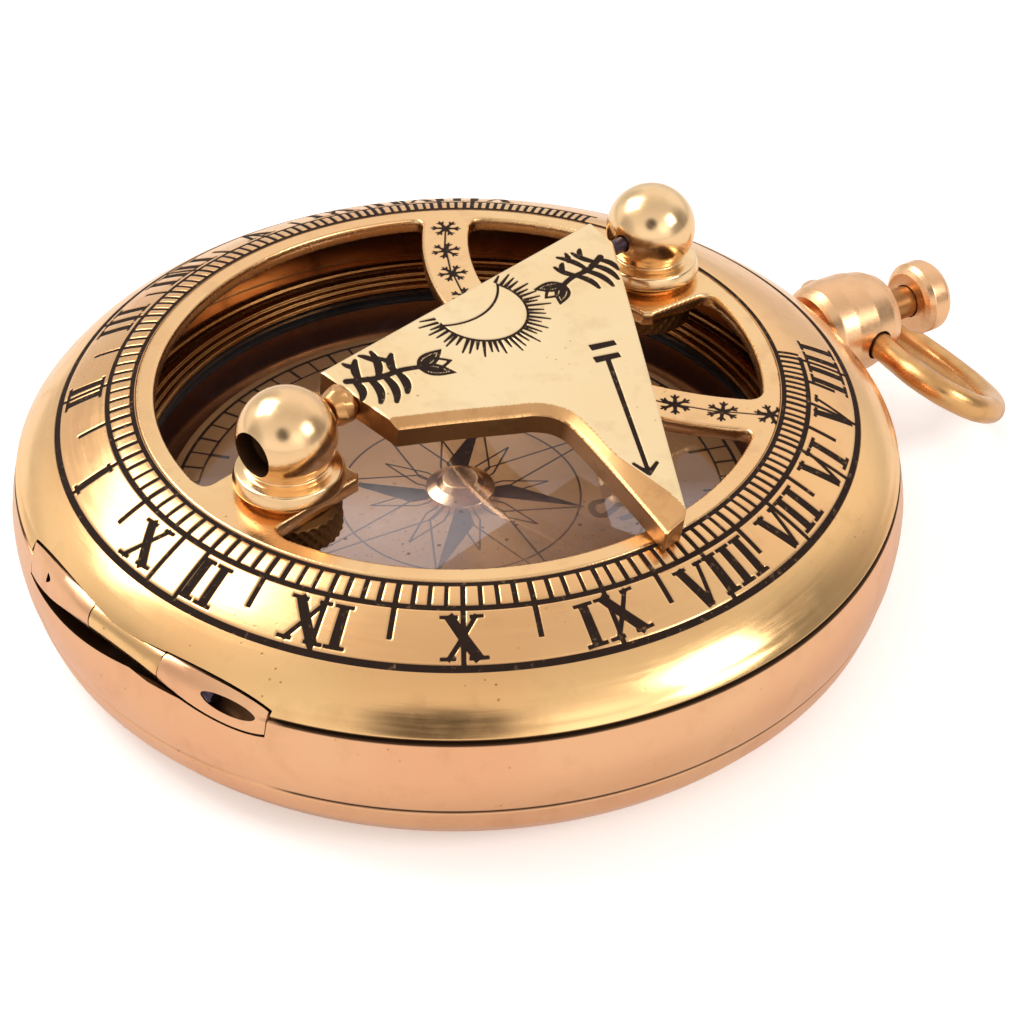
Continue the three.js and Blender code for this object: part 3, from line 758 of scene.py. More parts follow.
# letter: strokes (x0, y0, x1, y1, half width) with y up, letter width, gap after it
GLYPHS = {
    "I": ([(0.25, 0.0, 0.25, 1.0, HEAVY), (0.02, SERIF, 0.48, SERIF, SERIF),
           (0.02, 1 - SERIF, 0.48, 1 - SERIF, SERIF)], 0.5, 0.02),
    "V": ([(0.20, 1.0, 0.50, 0.0, HEAVY), (0.84, 1.0, 0.52, 0.0, LIGHT), *TOP_SERIFS], 1.0, 0.0),
    "X": ([(0.20, 1.0, 0.84, 0.0, HEAVY), (0.84, 1.0, 0.18, 0.0, LIGHT), *TOP_SERIFS,
           (0.02, SERIF, 0.36, SERIF, SERIF), (0.62, SERIF, 1.04, SERIF, SERIF)], 1.04, 0.0),
}

# hour lines: numeral, azimuth in degrees
MORNING = [("IIII", 319.3), ("V", 307.0), ("VI", 294.0), ("VII", 279.0), ("VIII", 262.8),
           ("IX", 245.7), ("X", 225.1), ("XI", 205.5)]
NOON = (184.8, 179.5)
AFTERNOON = [("I", 157.4), ("II", 135.8), ("III", 115.2), ("IIII", 98.5), ("V", 82.5),
             ("VI", 67.5), ("VII", 54.5), ("VIII", 42.0)]
HATCH_END, HATCH_STEP = 18.0, 1.5
SCALE_IN, SCALE_OUT = 17.7, 19.0                # radii of the hatched scale

# outer surface of the lid: radius, height
LID_PROFILE = np.array([
    (16.5, 12.0), (17.6, 12.0), (18.3, 11.87), (19.0, 11.66), (20.0, 11.24), (21.0, 10.76),
    (22.0, 10.2), (22.6, 9.82), (23.2, 9.38), (23.75, 8.86), (24.15, 8.4), (24.33, 8.08)])


def lid_height(r):
    """Height of the lid at radius r, averaged over a narrow window."""
    window = 0.35
    return sum(np.interp(r + k * window / 3, *LID_PROFILE.T) for k in range(-3, 4)) / 7.0


def numeral(text, height, stretch):
    """Strokes of a numeral, centred on x = 0."""
    strokes, x = [], 0.0
    for letter in text:
        parts, width, gap = GLYPHS[letter]
        for x0, y0, x1, y1, half in parts:
            strokes.append(((x + x0) * stretch * height, y0 * height,
                            (x + x1) * stretch * height, y1 * height, half * height))
        x += width + gap
    middle = x * stretch * height / 2
    return [(x0 - middle, y0, x1 - middle, y1, half) for x0, y0, x1, y1, half in strokes]


def dial_ink(r, azimuth):
    """Ink of the dial at radius r and azimuth in degrees, 0 to 360."""
    d = np.minimum(np.abs(r - 17.68) - 0.125, np.abs(r - 21.81) - 0.165)
    in_scale = (azimuth > HATCH_END) & (azimuth < 320.0)
    d = np.minimum(d, np.where(in_scale, np.abs(r - 19.02) - 0.135, FAR))

    def offset(az):
        return (azimuth - az + 180) % 360 - 180

    def radial(az, r0, r1, half):
        da = offset(az)
        sel = np.abs(da) < 6
        u = np.deg2rad(da[sel]) * r[sel]
        d[sel] = np.minimum(d[sel], stroke(u, r[sel], 0, r0, 0, r1, half))

    def text(label, az, r_top=19.36, r_foot=21.46, stretch=1.0, turn=0.0, shift=0.0):
        da = offset(az)
        sel = (np.abs(da) < 14) & (r > 18.9)
        height = r_foot - r_top
        u = np.deg2rad(da[sel]) * (0.5 * (r_top + r_foot)) - shift
        v = r_foot - r[sel] - height / 2
        c, s = math.cos(turn), math.sin(turn)
        u, v = c * u + s * v, -s * u + c * v + height / 2
        for line in numeral(label, height, stretch):
            d[sel] = np.minimum(d[sel], stroke(u, v, *line))

    lines = [az for _, az in MORNING] + [*NOON] + [az for _, az in AFTERNOON]
    for az in lines:
        radial(az, SCALE_IN, 21.9, 0.125)
    for a, b in zip(lines[:-1], lines[1:]):
        if abs(a - b) < 8:      # the noon gap is only halved
            radial((a + b) / 2, SCALE_IN, SCALE_OUT, 0.115)
            continue
        for k in range(1, 8):
            az = a + (b - a) * k / 8 + dial_rng.normal(0, 0.06)
            radial(az, SCALE_IN, SCALE_OUT, 0.115 + dial_rng.normal(0, 0.012))
        radial((a + b) / 2, SCALE_IN, 20.66, 0.135)
    az = lines[-1]
    while az - HATCH_STEP > HATCH_END:
        az -= HATCH_STEP
        radial(az, SCALE_IN, SCALE_OUT, 0.11)
    radial(320.6, SCALE_IN, SCALE_OUT, 0.115)

    for label, az in MORNING:
        text(label, az, turn=dial_rng.normal(0, 0.035),
             stretch={"VIII": 0.92, "VII": 0.96}.get(label, 1.05),
             shift=dial_rng.normal(0, 0.06) + (0.25 if label in ("VIII", "VII") else 0))
    # the two halves of XII stand outside the noon gap
    text("X", NOON[1], shift=-1.55, turn=0.10, stretch=1.05)
    text("II", NOON[0], shift=0.95)
    for label, az in AFTERNOON:
        if label == "I":
            text(label, az, r_top=19.5, r_foot=21.5, stretch=0.8)
        else:
            text(label, az, turn=dial_rng.normal(0, 0.03))
    return cover(d, 0.04)


def build_dial():
    radii = np.concatenate([np.arange(DIAL_HOLE_R, 19.25, 0.062), np.arange(19.25, 21.72, 0.066),
                            np.arange(21.72, DIAL_R, 0.05), [DIAL_R]])
    r, angle = polar_grid(radii, 2300)
    ink = dial_ink(r, np.degrees(angle) % 360)
    under = np.array([(DIAL_R, 9.28), (20.2, 10.15), (18.8, 10.75), (DIAL_HOLE_R, 11.08)])
    ob = engraved_ring("lid_dial", r, angle, lid_height(r) - 0.050 * ink, under, ink, MAT["dial"])
    paint_shade_inward(ob)
    fit(ob, "lid", "lid_brass")


# ------------------------------------------------------------------ lid plate: rim, tabs, bridge
# outlines of the two post tabs: x, y
TAB_NORTH = [(-17.9, 3.4), (-16.2, 2.1), (-10.3, 2.1), (-9.95, 1.75), (-9.95, -2.55),
             (-10.3, -2.9), (-15.9, -2.9), (-17.9, -4.6)]
TAB_SOUTH = [(17.9, 3.7), (16.2, 2.3), (11.9, 2.3), (11.5, 1.9), (11.5, -3.4), (11.9, -3.8),
             (15.8, -4.6), (17.6, -6.2)]
BRIDGE_X, BRIDGE_Y, BRIDGE_R, BRIDGE_HALF = 22.5, -2.5, 18.4, 1.4
BRIDGE_START, BRIDGE_END = rad(124), rad(233.5)
STARS_PER_ARM, STAR_STEP = 4, 8.0
north_tab_distance = polygon_distance(TAB_NORTH)
south_tab_distance = polygon_distance(TAB_SOUTH)


def bridge_distance(x, y):
    dx, dy = x - BRIDGE_X, y - BRIDGE_Y
    band = np.abs(np.hypot(dx, dy) - BRIDGE_R) - BRIDGE_HALF
    a = np.arctan2(dy, dx) % (2 * math.pi)
    beyond = np.maximum((BRIDGE_START - 0.25) - a, a - (BRIDGE_END + 0.25)) * BRIDGE_R
    return np.maximum(band, beyond)


def lid_plate_distance(x, y):
    outside = np.hypot(x, y) - PLATE_R
    rim = np.maximum(outside, 16.5 - np.hypot(x, y))
    tabs = smooth_min(north_tab_distance(x, y), south_tab_distance(x, y), 0.5)
    inner = smooth_min(tabs, bridge_distance(x, y), 0.9)
    d = smooth_min(np.maximum(inner, outside), rim, 0.9)
    d = np.maximum(d, outside)
    for post_x, *_ in POSTS.values():
        d = np.maximum(d, 1.34 - np.hypot(x - post_x, y - POST_Y))
    return d


def star(px, py, cx, cy, size, turn):
    """A small engraved star: six fine rays from a dot, with arrow barbs."""
    x, y = px - cx, py - cy
    d = np.hypot(x, y) - 0.16 * size
    for k in range(6):
        a = turn + 2 * math.pi * k / 6
        c, s = math.cos(a), math.sin(a)
        d = np.minimum(d, stroke(x, y, 0, 0, size * c, size * s, 0.13, 0.06, soft=True))
        bx, by = 0.62 * size * c, 0.62 * size * s
        for side in (-1, 1):
            ex = bx + 0.34 * size * math.cos(a + side * 0.75)
            ey = by + 0.34 * size * math.sin(a + side * 0.75)
            d = np.minimum(d, stroke(x, y, bx, by, ex, ey, 0.09, 0.05, soft=True))
    return d


def lid_plate_ink(x, y):
    """Stars on the two arms of the bridge, with a fine line through them."""
    def on_bridge(a):
        return BRIDGE_X + BRIDGE_R * math.cos(a), BRIDGE_Y + BRIDGE_R * math.sin(a)

    d = np.full(x.shape, FAR)
    for start in (131.5, 197.5):
        for k in range(STARS_PER_ARM):
            a = rad(start + k * STAR_STEP)
            cx, cy = on_bridge(a)
            d = np.minimum(d, star(x, y, cx, cy, 0.86, a + (k % 2) * 0.26))
            if k < STARS_PER_ARM - 1:
                mx, my = on_bridge(a + rad(STAR_STEP / 2))
                line = stroke(x, y, cx, cy, 2 * mx - cx, 2 * my - cy, 0.05, soft=True)
                d = np.minimum(d, np.where(np.hypot(x - mx, y - my) < 1.2, line, FAR))
    return cover(d, 0.045)


def build_lid_plate():
    ob = sheet("lid_plate", lid_plate_distance, -17.6, 17.6, -17.6, 17.6, step=0.068,
               mat=MAT["lidplate"], top=lambda x, y: TOP, bottom=11.1, edge_r=0.16,
               ink=lid_plate_ink, carve=0.045)
    fit(ob, "lid", "lid_brass")


# ------------------------------------------------------------------ lid shoulder
def build_shoulder():
    """The lid from the dial's outer circle to the seam, with its knuckle and catch."""
    lid, hole = MAT["lid"], MAT["hole"]
    y0, y1, y2, y3 = HINGE_Y
    radii = np.linspace(DIAL_R, 24.15, 26)
    ob = lathe("lid_shoulder", [
        *zip(radii, lid_height(radii)),
        (24.33, 8.16, 0.05), (24.30, 8.0, 0.06), (23.45, 8.0, 0.1), (23.15, 8.5), (22.5, 9.0),
        (DIAL_R, 9.28)], lid, 300)

    # room for the case knuckles, then a groove that outlines the middle knuckle; these cuts and
    # the bore face their walls in the hole brass, painted shade
    for start, end in ((y0 - 0.12, y1 + 0.02), (y2 - 0.02, y3 + 0.12)):
        boolean(ob, hinge_rod(1.09, start, end, hole, 64), own=True)
    boolean(ob, hinge_rod(1.07, y1 - 0.1, y2 + 0.1, hole, 64), own=True)
    boolean(ob, box(-26, HINGE_X - 0.55, y0 - 0.1, y3 + 0.1, 7.5, 8.52, hole), own=True)

    # web that joins the middle knuckle to the lid
    web = box(HINGE_X - 0.30, HINGE_X + 0.9, y1 + 0.06, y2 - 0.06, 8.3, 9.75, lid)
    within_lid = [(20.0, 8.0), (23.9, 8.0), (23.6, 8.9), (22.9, 9.45), (21.9, 10.15), (20.0, 10.8)]
    boolean(web, lathe("trim", within_lid, lid, 200), "INTERSECT")
    boolean(ob, web, "UNION")

    # middle knuckle, filed flush with the outline
    knuckle = hinge_rod(KNUCKLE_R, y1 + 0.06, y2 - 0.06, lid, 64)
    outline = [(20.0, 12), (22.0, 10.2), (23.2, 9.38), (23.9, 8.68), (24.33, 8.0), (24.44, 7.5),
               (24.36, 6.7), (23.6, 6.2), (20.0, 6.2)]
    boolean(knuckle, lathe("trim", outline, lid, 200), "INTERSECT")
    boolean(ob, knuckle, "UNION")
    boolean(ob, hinge_rod(HINGE_BORE_R, y1 - 1, y2 + 1, hole, 32), own=True)

    # catch tongue for the latch
    tongue = lathe("tongue", [(22.8, 6.95, 0.08), (23.15, 6.95, 0.08), (23.35, 8.3), (22.9, 8.7)],
                   lid, 720)
    boolean(tongue, turn_z(box(20, 26, -1.3, 1.3, 6, 10, lid), PENDANT_TURN), "INTERSECT")
    boolean(ob, tongue, "UNION")
    tooth = turn_z(box(22.42, 22.9, -1.1, 1.1, 7.02, 7.48, lid, edge=0.08), PENDANT_TURN)
    boolean(ob, tooth, "UNION")
    paint_shade_inward(ob)
    fit(ob, "lid", "lid_brass", "lid_ring", crease=34)


# ------------------------------------------------------------------ gnomon
# The outline and art lie in the plate's own frame: x, y on the plate, origin between the balls.
NOTCH = catmull([(-4.1, -17.4), (-3.75, -16.3), (-2.9, -13.2), (-2.0, -9.6), (-1.95, -8.3),
                 (-2.6, -7.35), (-3.7, -6.65), (-6.2, -5.1), (-8.8, -3.6)], 6)
gnomon_distance = polygon_distance([
    (-9.0, 1.9), (11.7, 1.9), (11.3, -0.2), (-2.3, -17.1), (-2.75, -17.36), (-3.5, -17.36),
    *NOTCH.tolist()])
GNOMON_HALF = 0.75      # half thickness of the plate


def notch_distance(x, y):
    d = np.full(x.shape, 1e9)
    for a, b in zip(NOTCH[:-1], NOTCH[1:]):
        d = np.minimum(d, edge_distance2(x, y, *a, *b))
    return np.sqrt(d)


def bevel_width(y):
    """Width of the notch bevel, wider towards the tip."""
    k = np.clip((-11.5 - y) / 5.2, 0, 1)
    return 0.66 + 1.0 * k * k * (3 - 2 * k)


def gnomon_top(x, y):
    b = np.clip(1 - notch_distance(x, y) / bevel_width(y), 0, 1)
    return GNOMON_HALF - 0.27 * np.maximum(b - 0.03, 0) / 0.97


def curve_distance(x, y, points, widths):
    """Distance to a line of soft strokes; widths are the half widths at the points."""
    d = np.full(x.shape, FAR)
    for a, b, wa, wb in zip(points[:-1], points[1:], widths[:-1], widths[1:]):
        d = np.minimum(d, stroke(x, y, a[0], a[1], b[0], b[1], wa, wb, soft=True))
    return d


def leaf(x, y, p0, p1, bend, half):
    """A curved stroke that swells in the middle."""
    middle = (p0 + p1) / 2 + bend * np.array([-(p1 - p0)[1], (p1 - p0)[0]])
    points = [(1 - t) ** 2 * p0 + 2 * t * (1 - t) * middle + t * t * p1
              for t in np.linspace(0, 1, 9)]
    widths = [half * (0.35 + 0.65 * math.sin(math.pi * (0.12 + 0.8 * k / 8))) for k in range(9)]
    return curve_distance(x, y, points, widths)


def petal(x, y, base, direction, length, half):
    pu = (x - base[0]) * direction[0] + (y - base[1]) * direction[1]
    pv = -(x - base[0]) * direction[1] + (y - base[1]) * direction[0]
    t = np.clip(pu / length, 0, 1)
    return np.maximum(np.abs(pv) - half * np.sin(np.pi * t ** 0.8), np.maximum(-pu, pu - length))


def sprig(x, y, base, tip, size, flip=1):
    """A flowering sprig with its stem from base to tip and the bloom at the tip."""
    base, tip = np.array(base, float), np.array(tip, float)
    length = np.linalg.norm(tip - base)
    u = (tip - base) / length
    v = np.array([-u[1], u[0]]) * flip

    def at(a, b):
        return base + u * a * length + v * b

    stem = catmull([at(-0.04, 0.10), at(0.3, -0.12), at(0.6, 0.08), at(0.84, 0.0)], 6)
    d = curve_distance(x, y, stem, np.linspace(0.17 * size, 0.13 * size, len(stem)))
    # forked leaves on one side: place on the stem, length, bend
    for a, h, b in ((0.10, 1.25, 0.16), (0.32, 1.55, -0.18), (0.52, 1.15, 0.2)):
        d = np.minimum(d, leaf(x, y, at(a, 0.0), at(a + 0.08, h * size), b, 0.19 * size))
        d = np.minimum(d, leaf(x, y, at(a + 0.05, 0.62 * h * size),
                               at(a - 0.07, 0.95 * h * size), b, 0.15 * size))
    # drooping leaves on the other
    for a, h, b in ((0.03, 1.15, 0.3), (0.20, 1.6, 0.28), (0.37, 1.75, 0.26), (0.54, 1.35, 0.24)):
        d = np.minimum(d, leaf(x, y, at(a, 0.0), at(a - 0.02, -h * size), b, 0.20 * size))
    # bloom: three outlined petals, the outer two filled. Angle, length, half width
    for k, (angle, long, wide) in enumerate(((0.0, 1.55, 0.42), (0.52, 1.6, 0.36),
                                             (-0.52, 1.6, 0.36))):
        direction = u * math.cos(angle) + v * math.sin(angle)
        shape = petal(x, y, at(0.80, 0.0), direction, long * size, wide * size)
        d = np.minimum(d, np.abs(shape + 0.06) - 0.10)
        if k:
            d = np.minimum(d, shape + 0.22)
    return d


def crescent(x, y):
    """A crescent with a fan of rays."""
    cx, cy, radius = 1.05, 0.25, 2.55
    dx, dy = x - cx, y - cy
    r, a = np.hypot(dx, dy), np.degrees(np.arctan2(dy, dx)) % 360
    d = np.where((a > 166) | (a < 25), np.abs(r - radius) - 0.075, FAR)
    hollow = np.abs(np.hypot(x - 0.62, y - 3.55) - 3.60) - 0.07
    d = np.minimum(d, np.where(r < radius + 0.02, hollow, FAR))
    for k in range(37):
        az = rad(158 + k * 6.35 + ray_jitter[k] * 1.1)
        c, s = math.cos(az), math.sin(az)
        reach = 0.75 * (0.5 + 0.5 * math.sin(k * 2.4)) * (0.75 + 0.25 * ray_jitter[k])
        r0, r1 = radius + 0.14, radius + 0.75 + reach
        d = np.minimum(d, stroke(x, y, cx + r0 * c, cy + r0 * s, cx + r1 * c, cy + r1 * s,
                                 0.105, 0.05, soft=True))
    return d


def arrow(x, y):
    """An arrow along the style: two slanted fletches, a plain shaft, a small barbed head."""
    s, t, length = along(x, y, 4.15, -5.75, -1.80, -14.30)
    d = stroke(s, t, 1.2, 0, length - 0.45, 0, 0.15, 0.12)
    for at in (0.15, 1.15):
        d = np.minimum(d, stroke(s, t, at + 0.25, -0.74, at - 0.10, 0.74, 0.24, 0.20))
    for side in (-1, 1):
        d = np.minimum(d, stroke(s, t, length - 0.2, 0, length - 0.95, side * 0.60,
                                 0.14, 0.10, soft=True))
    ends = np.maximum(s - length, (length - 0.62) - s)
    return np.minimum(d, np.maximum(np.abs(t) - 0.50 * (length - s), ends))


def gnomon_ink(x, y):
    d = np.minimum(crescent(x, y), arrow(x, y))
    d = np.minimum(d, sprig(x, y, (-8.35, 0.35), (-4.0, -1.35), 1.22))
    d = np.minimum(d, sprig(x, y, (9.6, -0.75), (5.45, -1.15), 1.12, flip=-1))
    return cover(d, 0.045)


def build_gnomon():
    ob = sheet("gnomon_top", gnomon_distance, -9.1, 11.8, -17.6, 2.0, step=0.07,
               mat=MAT["plate"], top=gnomon_top, bottom=-GNOMON_HALF, edge_r=0.09,
               ink=gnomon_ink, carve=0.05)
    mesh = ob.data
    # tilt the plate and lift it to the balls
    c, s = math.cos(TILT), math.sin(TILT)
    x, y, z = (read_vectors(mesh.vertices, "co") / MM).T
    placed = np.stack([x, y * c - z * s + POST_Y, y * s + z * c + BALL_Z], -1)
    mesh.vertices.foreach_set("co", (placed * MM).ravel())
    mesh.update()

    # painted shade: the filed bevel and the sawn edges are browner than the face, the edges picked
    # by the way they face
    mesh.materials.append(MAT["bevel"])
    mesh.materials.append(MAT["edge"])
    x, y, z = (read_vectors(mesh.polygons, "center") / MM).T
    _, normal_y, normal_z = read_vectors(mesh.polygons, "normal").T
    plate_y = (y - POST_Y) * c + (z - BALL_Z) * s
    plate_z = -(y - POST_Y) * s + (z - BALL_Z) * c
    facing = -normal_y * s + normal_z * c
    bevelled = (notch_distance(x, plate_y) < bevel_width(plate_y) - 0.02) & (plate_z > 0)
    index = np.where(np.abs(facing) < 0.6, 2, np.where(bevelled, 1, 0))
    mesh.polygons.foreach_set("material_index", index.astype(np.int32))

    # pin holes in the two ends, faced in the hole brass as painted shade
    for start, end in ((-9.4, -7.6), (10.3, 12.0)):
        boolean(ob, rod(0.50, start, end, MAT["hole"], 40, axis="x", at=(0, POST_Y, BALL_Z)),
                own=True)
    fit(ob, "gnomon", "plate_brass", "gnomon_plate", crease=32)


# ------------------------------------------------------------------ ball posts
def build_post(name, x, inward):
    """A ball on a turned foot, bored towards the gnomon and dimpled on the far side."""
    ball = []
    for k in range(30):
        a = math.pi / 2 - k * (math.pi / 2 + 0.60) / 29
        ball.append((BALL_R * math.cos(a) if k else 0, BALL_Z + BALL_R * math.sin(a)))
    ob = lathe("post_" + name + "_turned", ball + [
        (1.98, 13.42, 0.08), (2.30, 13.30, 0.08), (2.74, 13.20, 0.16), (2.86, 12.86),
        (2.93, 12.52, 0.14), (2.68, 12.3, 0.06), (1.2, 12.3, 0.03), (1.2, 9.36, 0.08),
        (1.05, 9.28, 0.04), (0, 9.28)], MAT["post"], 144, at=(x, POST_Y, 0))
    centre = {"axis": "x", "at": (x, POST_Y, BALL_Z), "flip": inward}
    # bore and dimple, faced in the hole brass as painted shade
    boolean(ob, rod(0.52, -0.2, 3.2, MAT["hole"], 48, **centre), own=True)
    dimple = [(0, -0.7), (0.9, -0.8, 0.2), (1.16, -1.3, 0.2), (1.17, -2.10), (1.30, -2.45),
              (1.34, -3.2), (0, -3.2)]
    boolean(ob, lathe("dimple", dimple, MAT["hole"], 64, **centre), own=True)
    fit(ob, "lid", "lid_brass", "post_" + name, crease=38)


def build_washer(name, x):
    ob = lathe("washer_" + name, [(1.35, 12.03, 0.04), (1.35, 12.27, 0.05), (2.25, 12.27, 0.08),
                                  (2.25, 12.03, 0.05)], MAT["post"], 96, at=(x, POST_Y, 0))
    fit(ob, "lid", "lid_brass", "post_washer_" + name, crease=40)


def build_nut(name, x):
    """Knurled nut under the tab."""
    ridges = 30

    def knurl(r, z, angle):
        slant = (z - 10) * 9.0
        depth = (0.05 * (0.5 + 0.5 * np.cos(angle * ridges + slant))
                 + 0.05 * (0.5 + 0.5 * np.cos(angle * ridges - slant)))
        wear = 0.02 * np.sin(angle * 7 + z * 3) * 0.3
        return np.where(r > 2.3, r - depth - wear, r)

    profile = [(1.3, 9.08, 0.12), (1.3, 11.06, 0.08), (2.15, 11.06, 0.06), (2.58, 10.86, 0.12)]
    profile += [(2.6, 10.75 - 0.09 * k) for k in range(15)]
    profile += [(2.58, 9.32, 0.14), (2.2, 9.08, 0.06)]
    ob = lathe("nut_" + name, profile, MAT["tarnished"], 340, at=(x, POST_Y, 0), ripple=knurl)
    fit(ob, "lid", "dark_brass", "post_nut_" + name)


def build_pin(name, x0, x1):
    place = {"axis": "x", "at": (0, POST_Y, BALL_Z)}
    ob = lathe("pin_" + name, [
        (0, x0), (0.36, x0, 0.03), (0.45, x0 + 0.1, 0.05), (0.44, (x0 + x1) / 2),
        (0.45, x1 - 0.1, 0.05), (0.36, x1, 0.03), (0, x1)], MAT["pin"], 56, **place)
    if name == "north":
        # a small rough brass collar between plate and ball
        def rough(r, z, angle):
            uneven = 0.05 * np.sin(3 * angle + 2.1 * z) + 0.035 * np.sin(7 * angle - 3.7 * z)
            return np.where(r > 0.5, r * (1 + uneven), r)

        collar = [(0.40, -10.28, 0.08), (0.78, -10.22, 0.12), (0.98, -9.75, 0.2),
                  (1.02, -9.3, 0.15), (0.86, -8.93, 0.08), (0.40, -8.93, 0.03)]
        boolean(ob, lathe("collar", collar, MAT["bevel"], 72, ripple=rough, **place),
                "UNION", own=True)
    fit(ob, "gnomon", "blued_steel", "gnomon_pin_" + name, crease=40)


# ------------------------------------------------------------------ case
def build_band():
    case, hole = MAT["case"], MAT["hole"]
    y0, y1, y2, y3 = HINGE_Y
    ob = lathe("case_band_turned", [
        (24.2, 3.55, 0.05), (24.58, 3.55, 0.12), (24.70, 4.1), (24.76, 4.7), (24.80, 5.4),
        (24.78, 6.1), (24.66, 6.8), (24.50, 7.45), (24.40, 7.83, 0.10), (24.0, 7.85, 0.06),
        (23.45, 7.85, 0.10), (23.3, 7.4, 0.1), (23.3, 5.36, 0.1), (20.2, 5.35, 0.12),
        (20.15, 4.5, 0.1), (22.6, 4.5, 0.12), (23.0, 3.6, 0.1)], case, 360)

    # close cove round the -Y knuckle, a lens-shaped slot under the other two, both faced in the
    # hole brass as painted shade
    boolean(ob, hinge_rod(1.07, y0 - 0.02, y1 + 0.05, hole, 72), own=True)
    slot_length = y3 + 0.02 - y1
    lens = [(1.07 + 0.58 * math.sin(math.pi * k / 24), y1 + slot_length * k / 24)
            for k in range(25)]
    boolean(ob, lathe("slot", [(0, y1), *lens, (0, y1 + slot_length)], hole, 72,
                      axis="y", at=HINGE_AT), own=True)
    # room for the lid's edge to swing, faced in the hole brass as painted shade
    swing = hinge_rod(1.34, y0, y3, hole, 72)
    boolean(swing, box(-26, HINGE_X - 0.7, y0 - 1, y3 + 1, 7.28, 9.5, hole), "INTERSECT")
    boolean(ob, swing, own=True)

    # outer knuckles, filed to the outline, each on a web of the hole brass, painted shade
    outline = [(21.0, 5.3), (24.80, 5.4), (24.78, 6.1), (24.66, 6.8), (24.50, 7.45), (24.42, 7.9),
               (24.1, 8.55), (23.6, 9.05), (22.6, 9.7), (21.0, 9.7)]
    within_band = [(20.0, 5.0), (23.9, 5.0), (23.9, 7.9), (20.0, 7.9)]
    # knuckle ends, web reach towards -X and +X, web foot
    for start, end, outer, inner, foot in ((y0, y1, 0.45, 0.5, 6.4), (y2, y3, 0.30, 0.9, 5.2)):
        knuckle = hinge_rod(KNUCKLE_R, start + 0.02, end - 0.02, case, 72)
        boolean(knuckle, lathe("trim", outline, case, 240), "INTERSECT")
        web = box(HINGE_X - outer, HINGE_X + inner, start + 0.04, end - 0.04, foot, 7.6, hole)
        boolean(web, lathe("trim", within_band, hole, 240), "INTERSECT")
        boolean(ob, web, "UNION", own=True)
        boolean(ob, knuckle, "UNION")
    boolean(ob, hinge_rod(HINGE_BORE_R, y0 - 1, 6.3, hole, 40), own=True)

    # clear hole for the pendant spigot
    bore = rod(1.72, 20.5, 26, case, 72, axis="x", at=(0, 0, PENDANT_Z))
    boolean(ob, turn_z(bore, PENDANT_TURN))
    paint_shade_inward(ob)
    fit(ob, "case", "case_brass", "case_band", crease=34)


def build_back():
    ob = lathe("back_cover_turned", [
        (0, 0.18), (15.0, 0.14), (19.2, 0.05), (20.4, 0.0, 0.5), (22.2, 0.3, 0.6),
        (23.5, 1.0, 0.6), (24.22, 2.05, 0.7), (24.46, 2.9), (24.52, 3.3, 0.12),
        (24.44, 3.45, 0.06), (23.65, 3.45, 0.05), (23.65, 4.4, 0.08), (22.9, 4.4, 0.08),
        (22.9, 1.9, 0.3), (22.0, 1.15, 0.3), (20.4, 0.9, 0.3), (0, 0.9)], MAT["case"], 300)
    fit(ob, "case", "case_brass", "back_cover", crease=34)


def build_hinge_pin():
    ob = lathe("hinge_pin_rod", [
        (0, -6.5), (0.30, -6.5, 0.03), (0.40, -6.38, 0.05), (0.40, 5.98, 0.05), (0.30, 6.1, 0.03),
        (0, 6.1)], MAT["pin"], 48, axis="x")
    turn_z(ob, rad(90))
    ob.data.transform(Matrix.Translation(Vector(HINGE_AT) * MM))
    fit(ob, "case", "blued_steel", "hinge_pin", crease=40)


# ------------------------------------------------------------------ compass
def build_bowl_and_glass():
    bowl = lathe("bowl_turned", [
        (0, 1.15), (17.8, 1.15, 0.3), (19.3, 1.9, 0.6), (19.9, 3.0, 0.6), (19.9, 5.38, 0.08),
        (21.0, 5.40, 0.08), (21.0, 5.93, 0.1), (19.45, 5.95, 0.06), (19.45, 5.1, 0.05),
        (18.3, 5.1, 0.1), (18.3, 3.0, 0.5), (17.7, 2.2, 0.4), (16.8, 1.75, 0.4), (0, 1.75)],
        MAT["inside"], 260)
    fit(bowl, "case", "dark_brass", "compass_bowl", crease=34)
    gasket = lathe("gasket_ring", [(17.9, 5.13, 0.1), (19.3, 5.13, 0.1), (19.3, 5.4, 0.1),
                                   (17.9, 5.4, 0.1)], MAT["gasket"], 220)
    fit(gasket, "case", "black_gasket", "glass_gasket")
    glass = lathe("glass_disc", [(0, 5.43), (19.1, 5.43), (19.25, 5.55), (19.25, 6.08),
                                 (19.1, 6.2), (0, 6.2)], MAT["glass"], 220)
    fit(glass, "case", "clear_glass", "compass_glass", crease=30)
    # stepped and beaded
    bezel = lathe("bezel_stepped", [
        (17.72, 6.24, 0.06), (19.68, 6.24, 0.04), (19.68, 6.0, 0.03), (20.88, 6.0, 0.08),
        (20.88, 6.42, 0.12), (20.62, 6.62, 0.1), (20.36, 6.66, 0.05), (20.34, 6.92, 0.12),
        (20.0, 7.0, 0.1), (19.72, 6.93, 0.05), (19.66, 6.80, 0.05), (19.3, 6.80, 0.05),
        (19.24, 6.93, 0.05), (18.9, 7.0, 0.1), (18.55, 6.93, 0.05), (18.5, 6.76, 0.05),
        (18.16, 6.74, 0.05), (18.1, 6.60, 0.05), (17.9, 6.58, 0.08), (17.72, 6.5, 0.06)],
        MAT["bezel"], 300)
    fit(bezel, "case", "bezel_brass", "glass_bezel", crease=30)


LETTER_HALF = 1.15      # half height of a card letter
S_CURVE = catmull([
    (0.68, 0.58), (0.38, 0.95), (-0.1, 1.0), (-0.58, 0.72), (-0.55, 0.32), (0.05, 0.02),
    (0.58, -0.3), (0.6, -0.72), (0.1, -1.0), (-0.38, -0.95), (-0.68, -0.56)], 4)
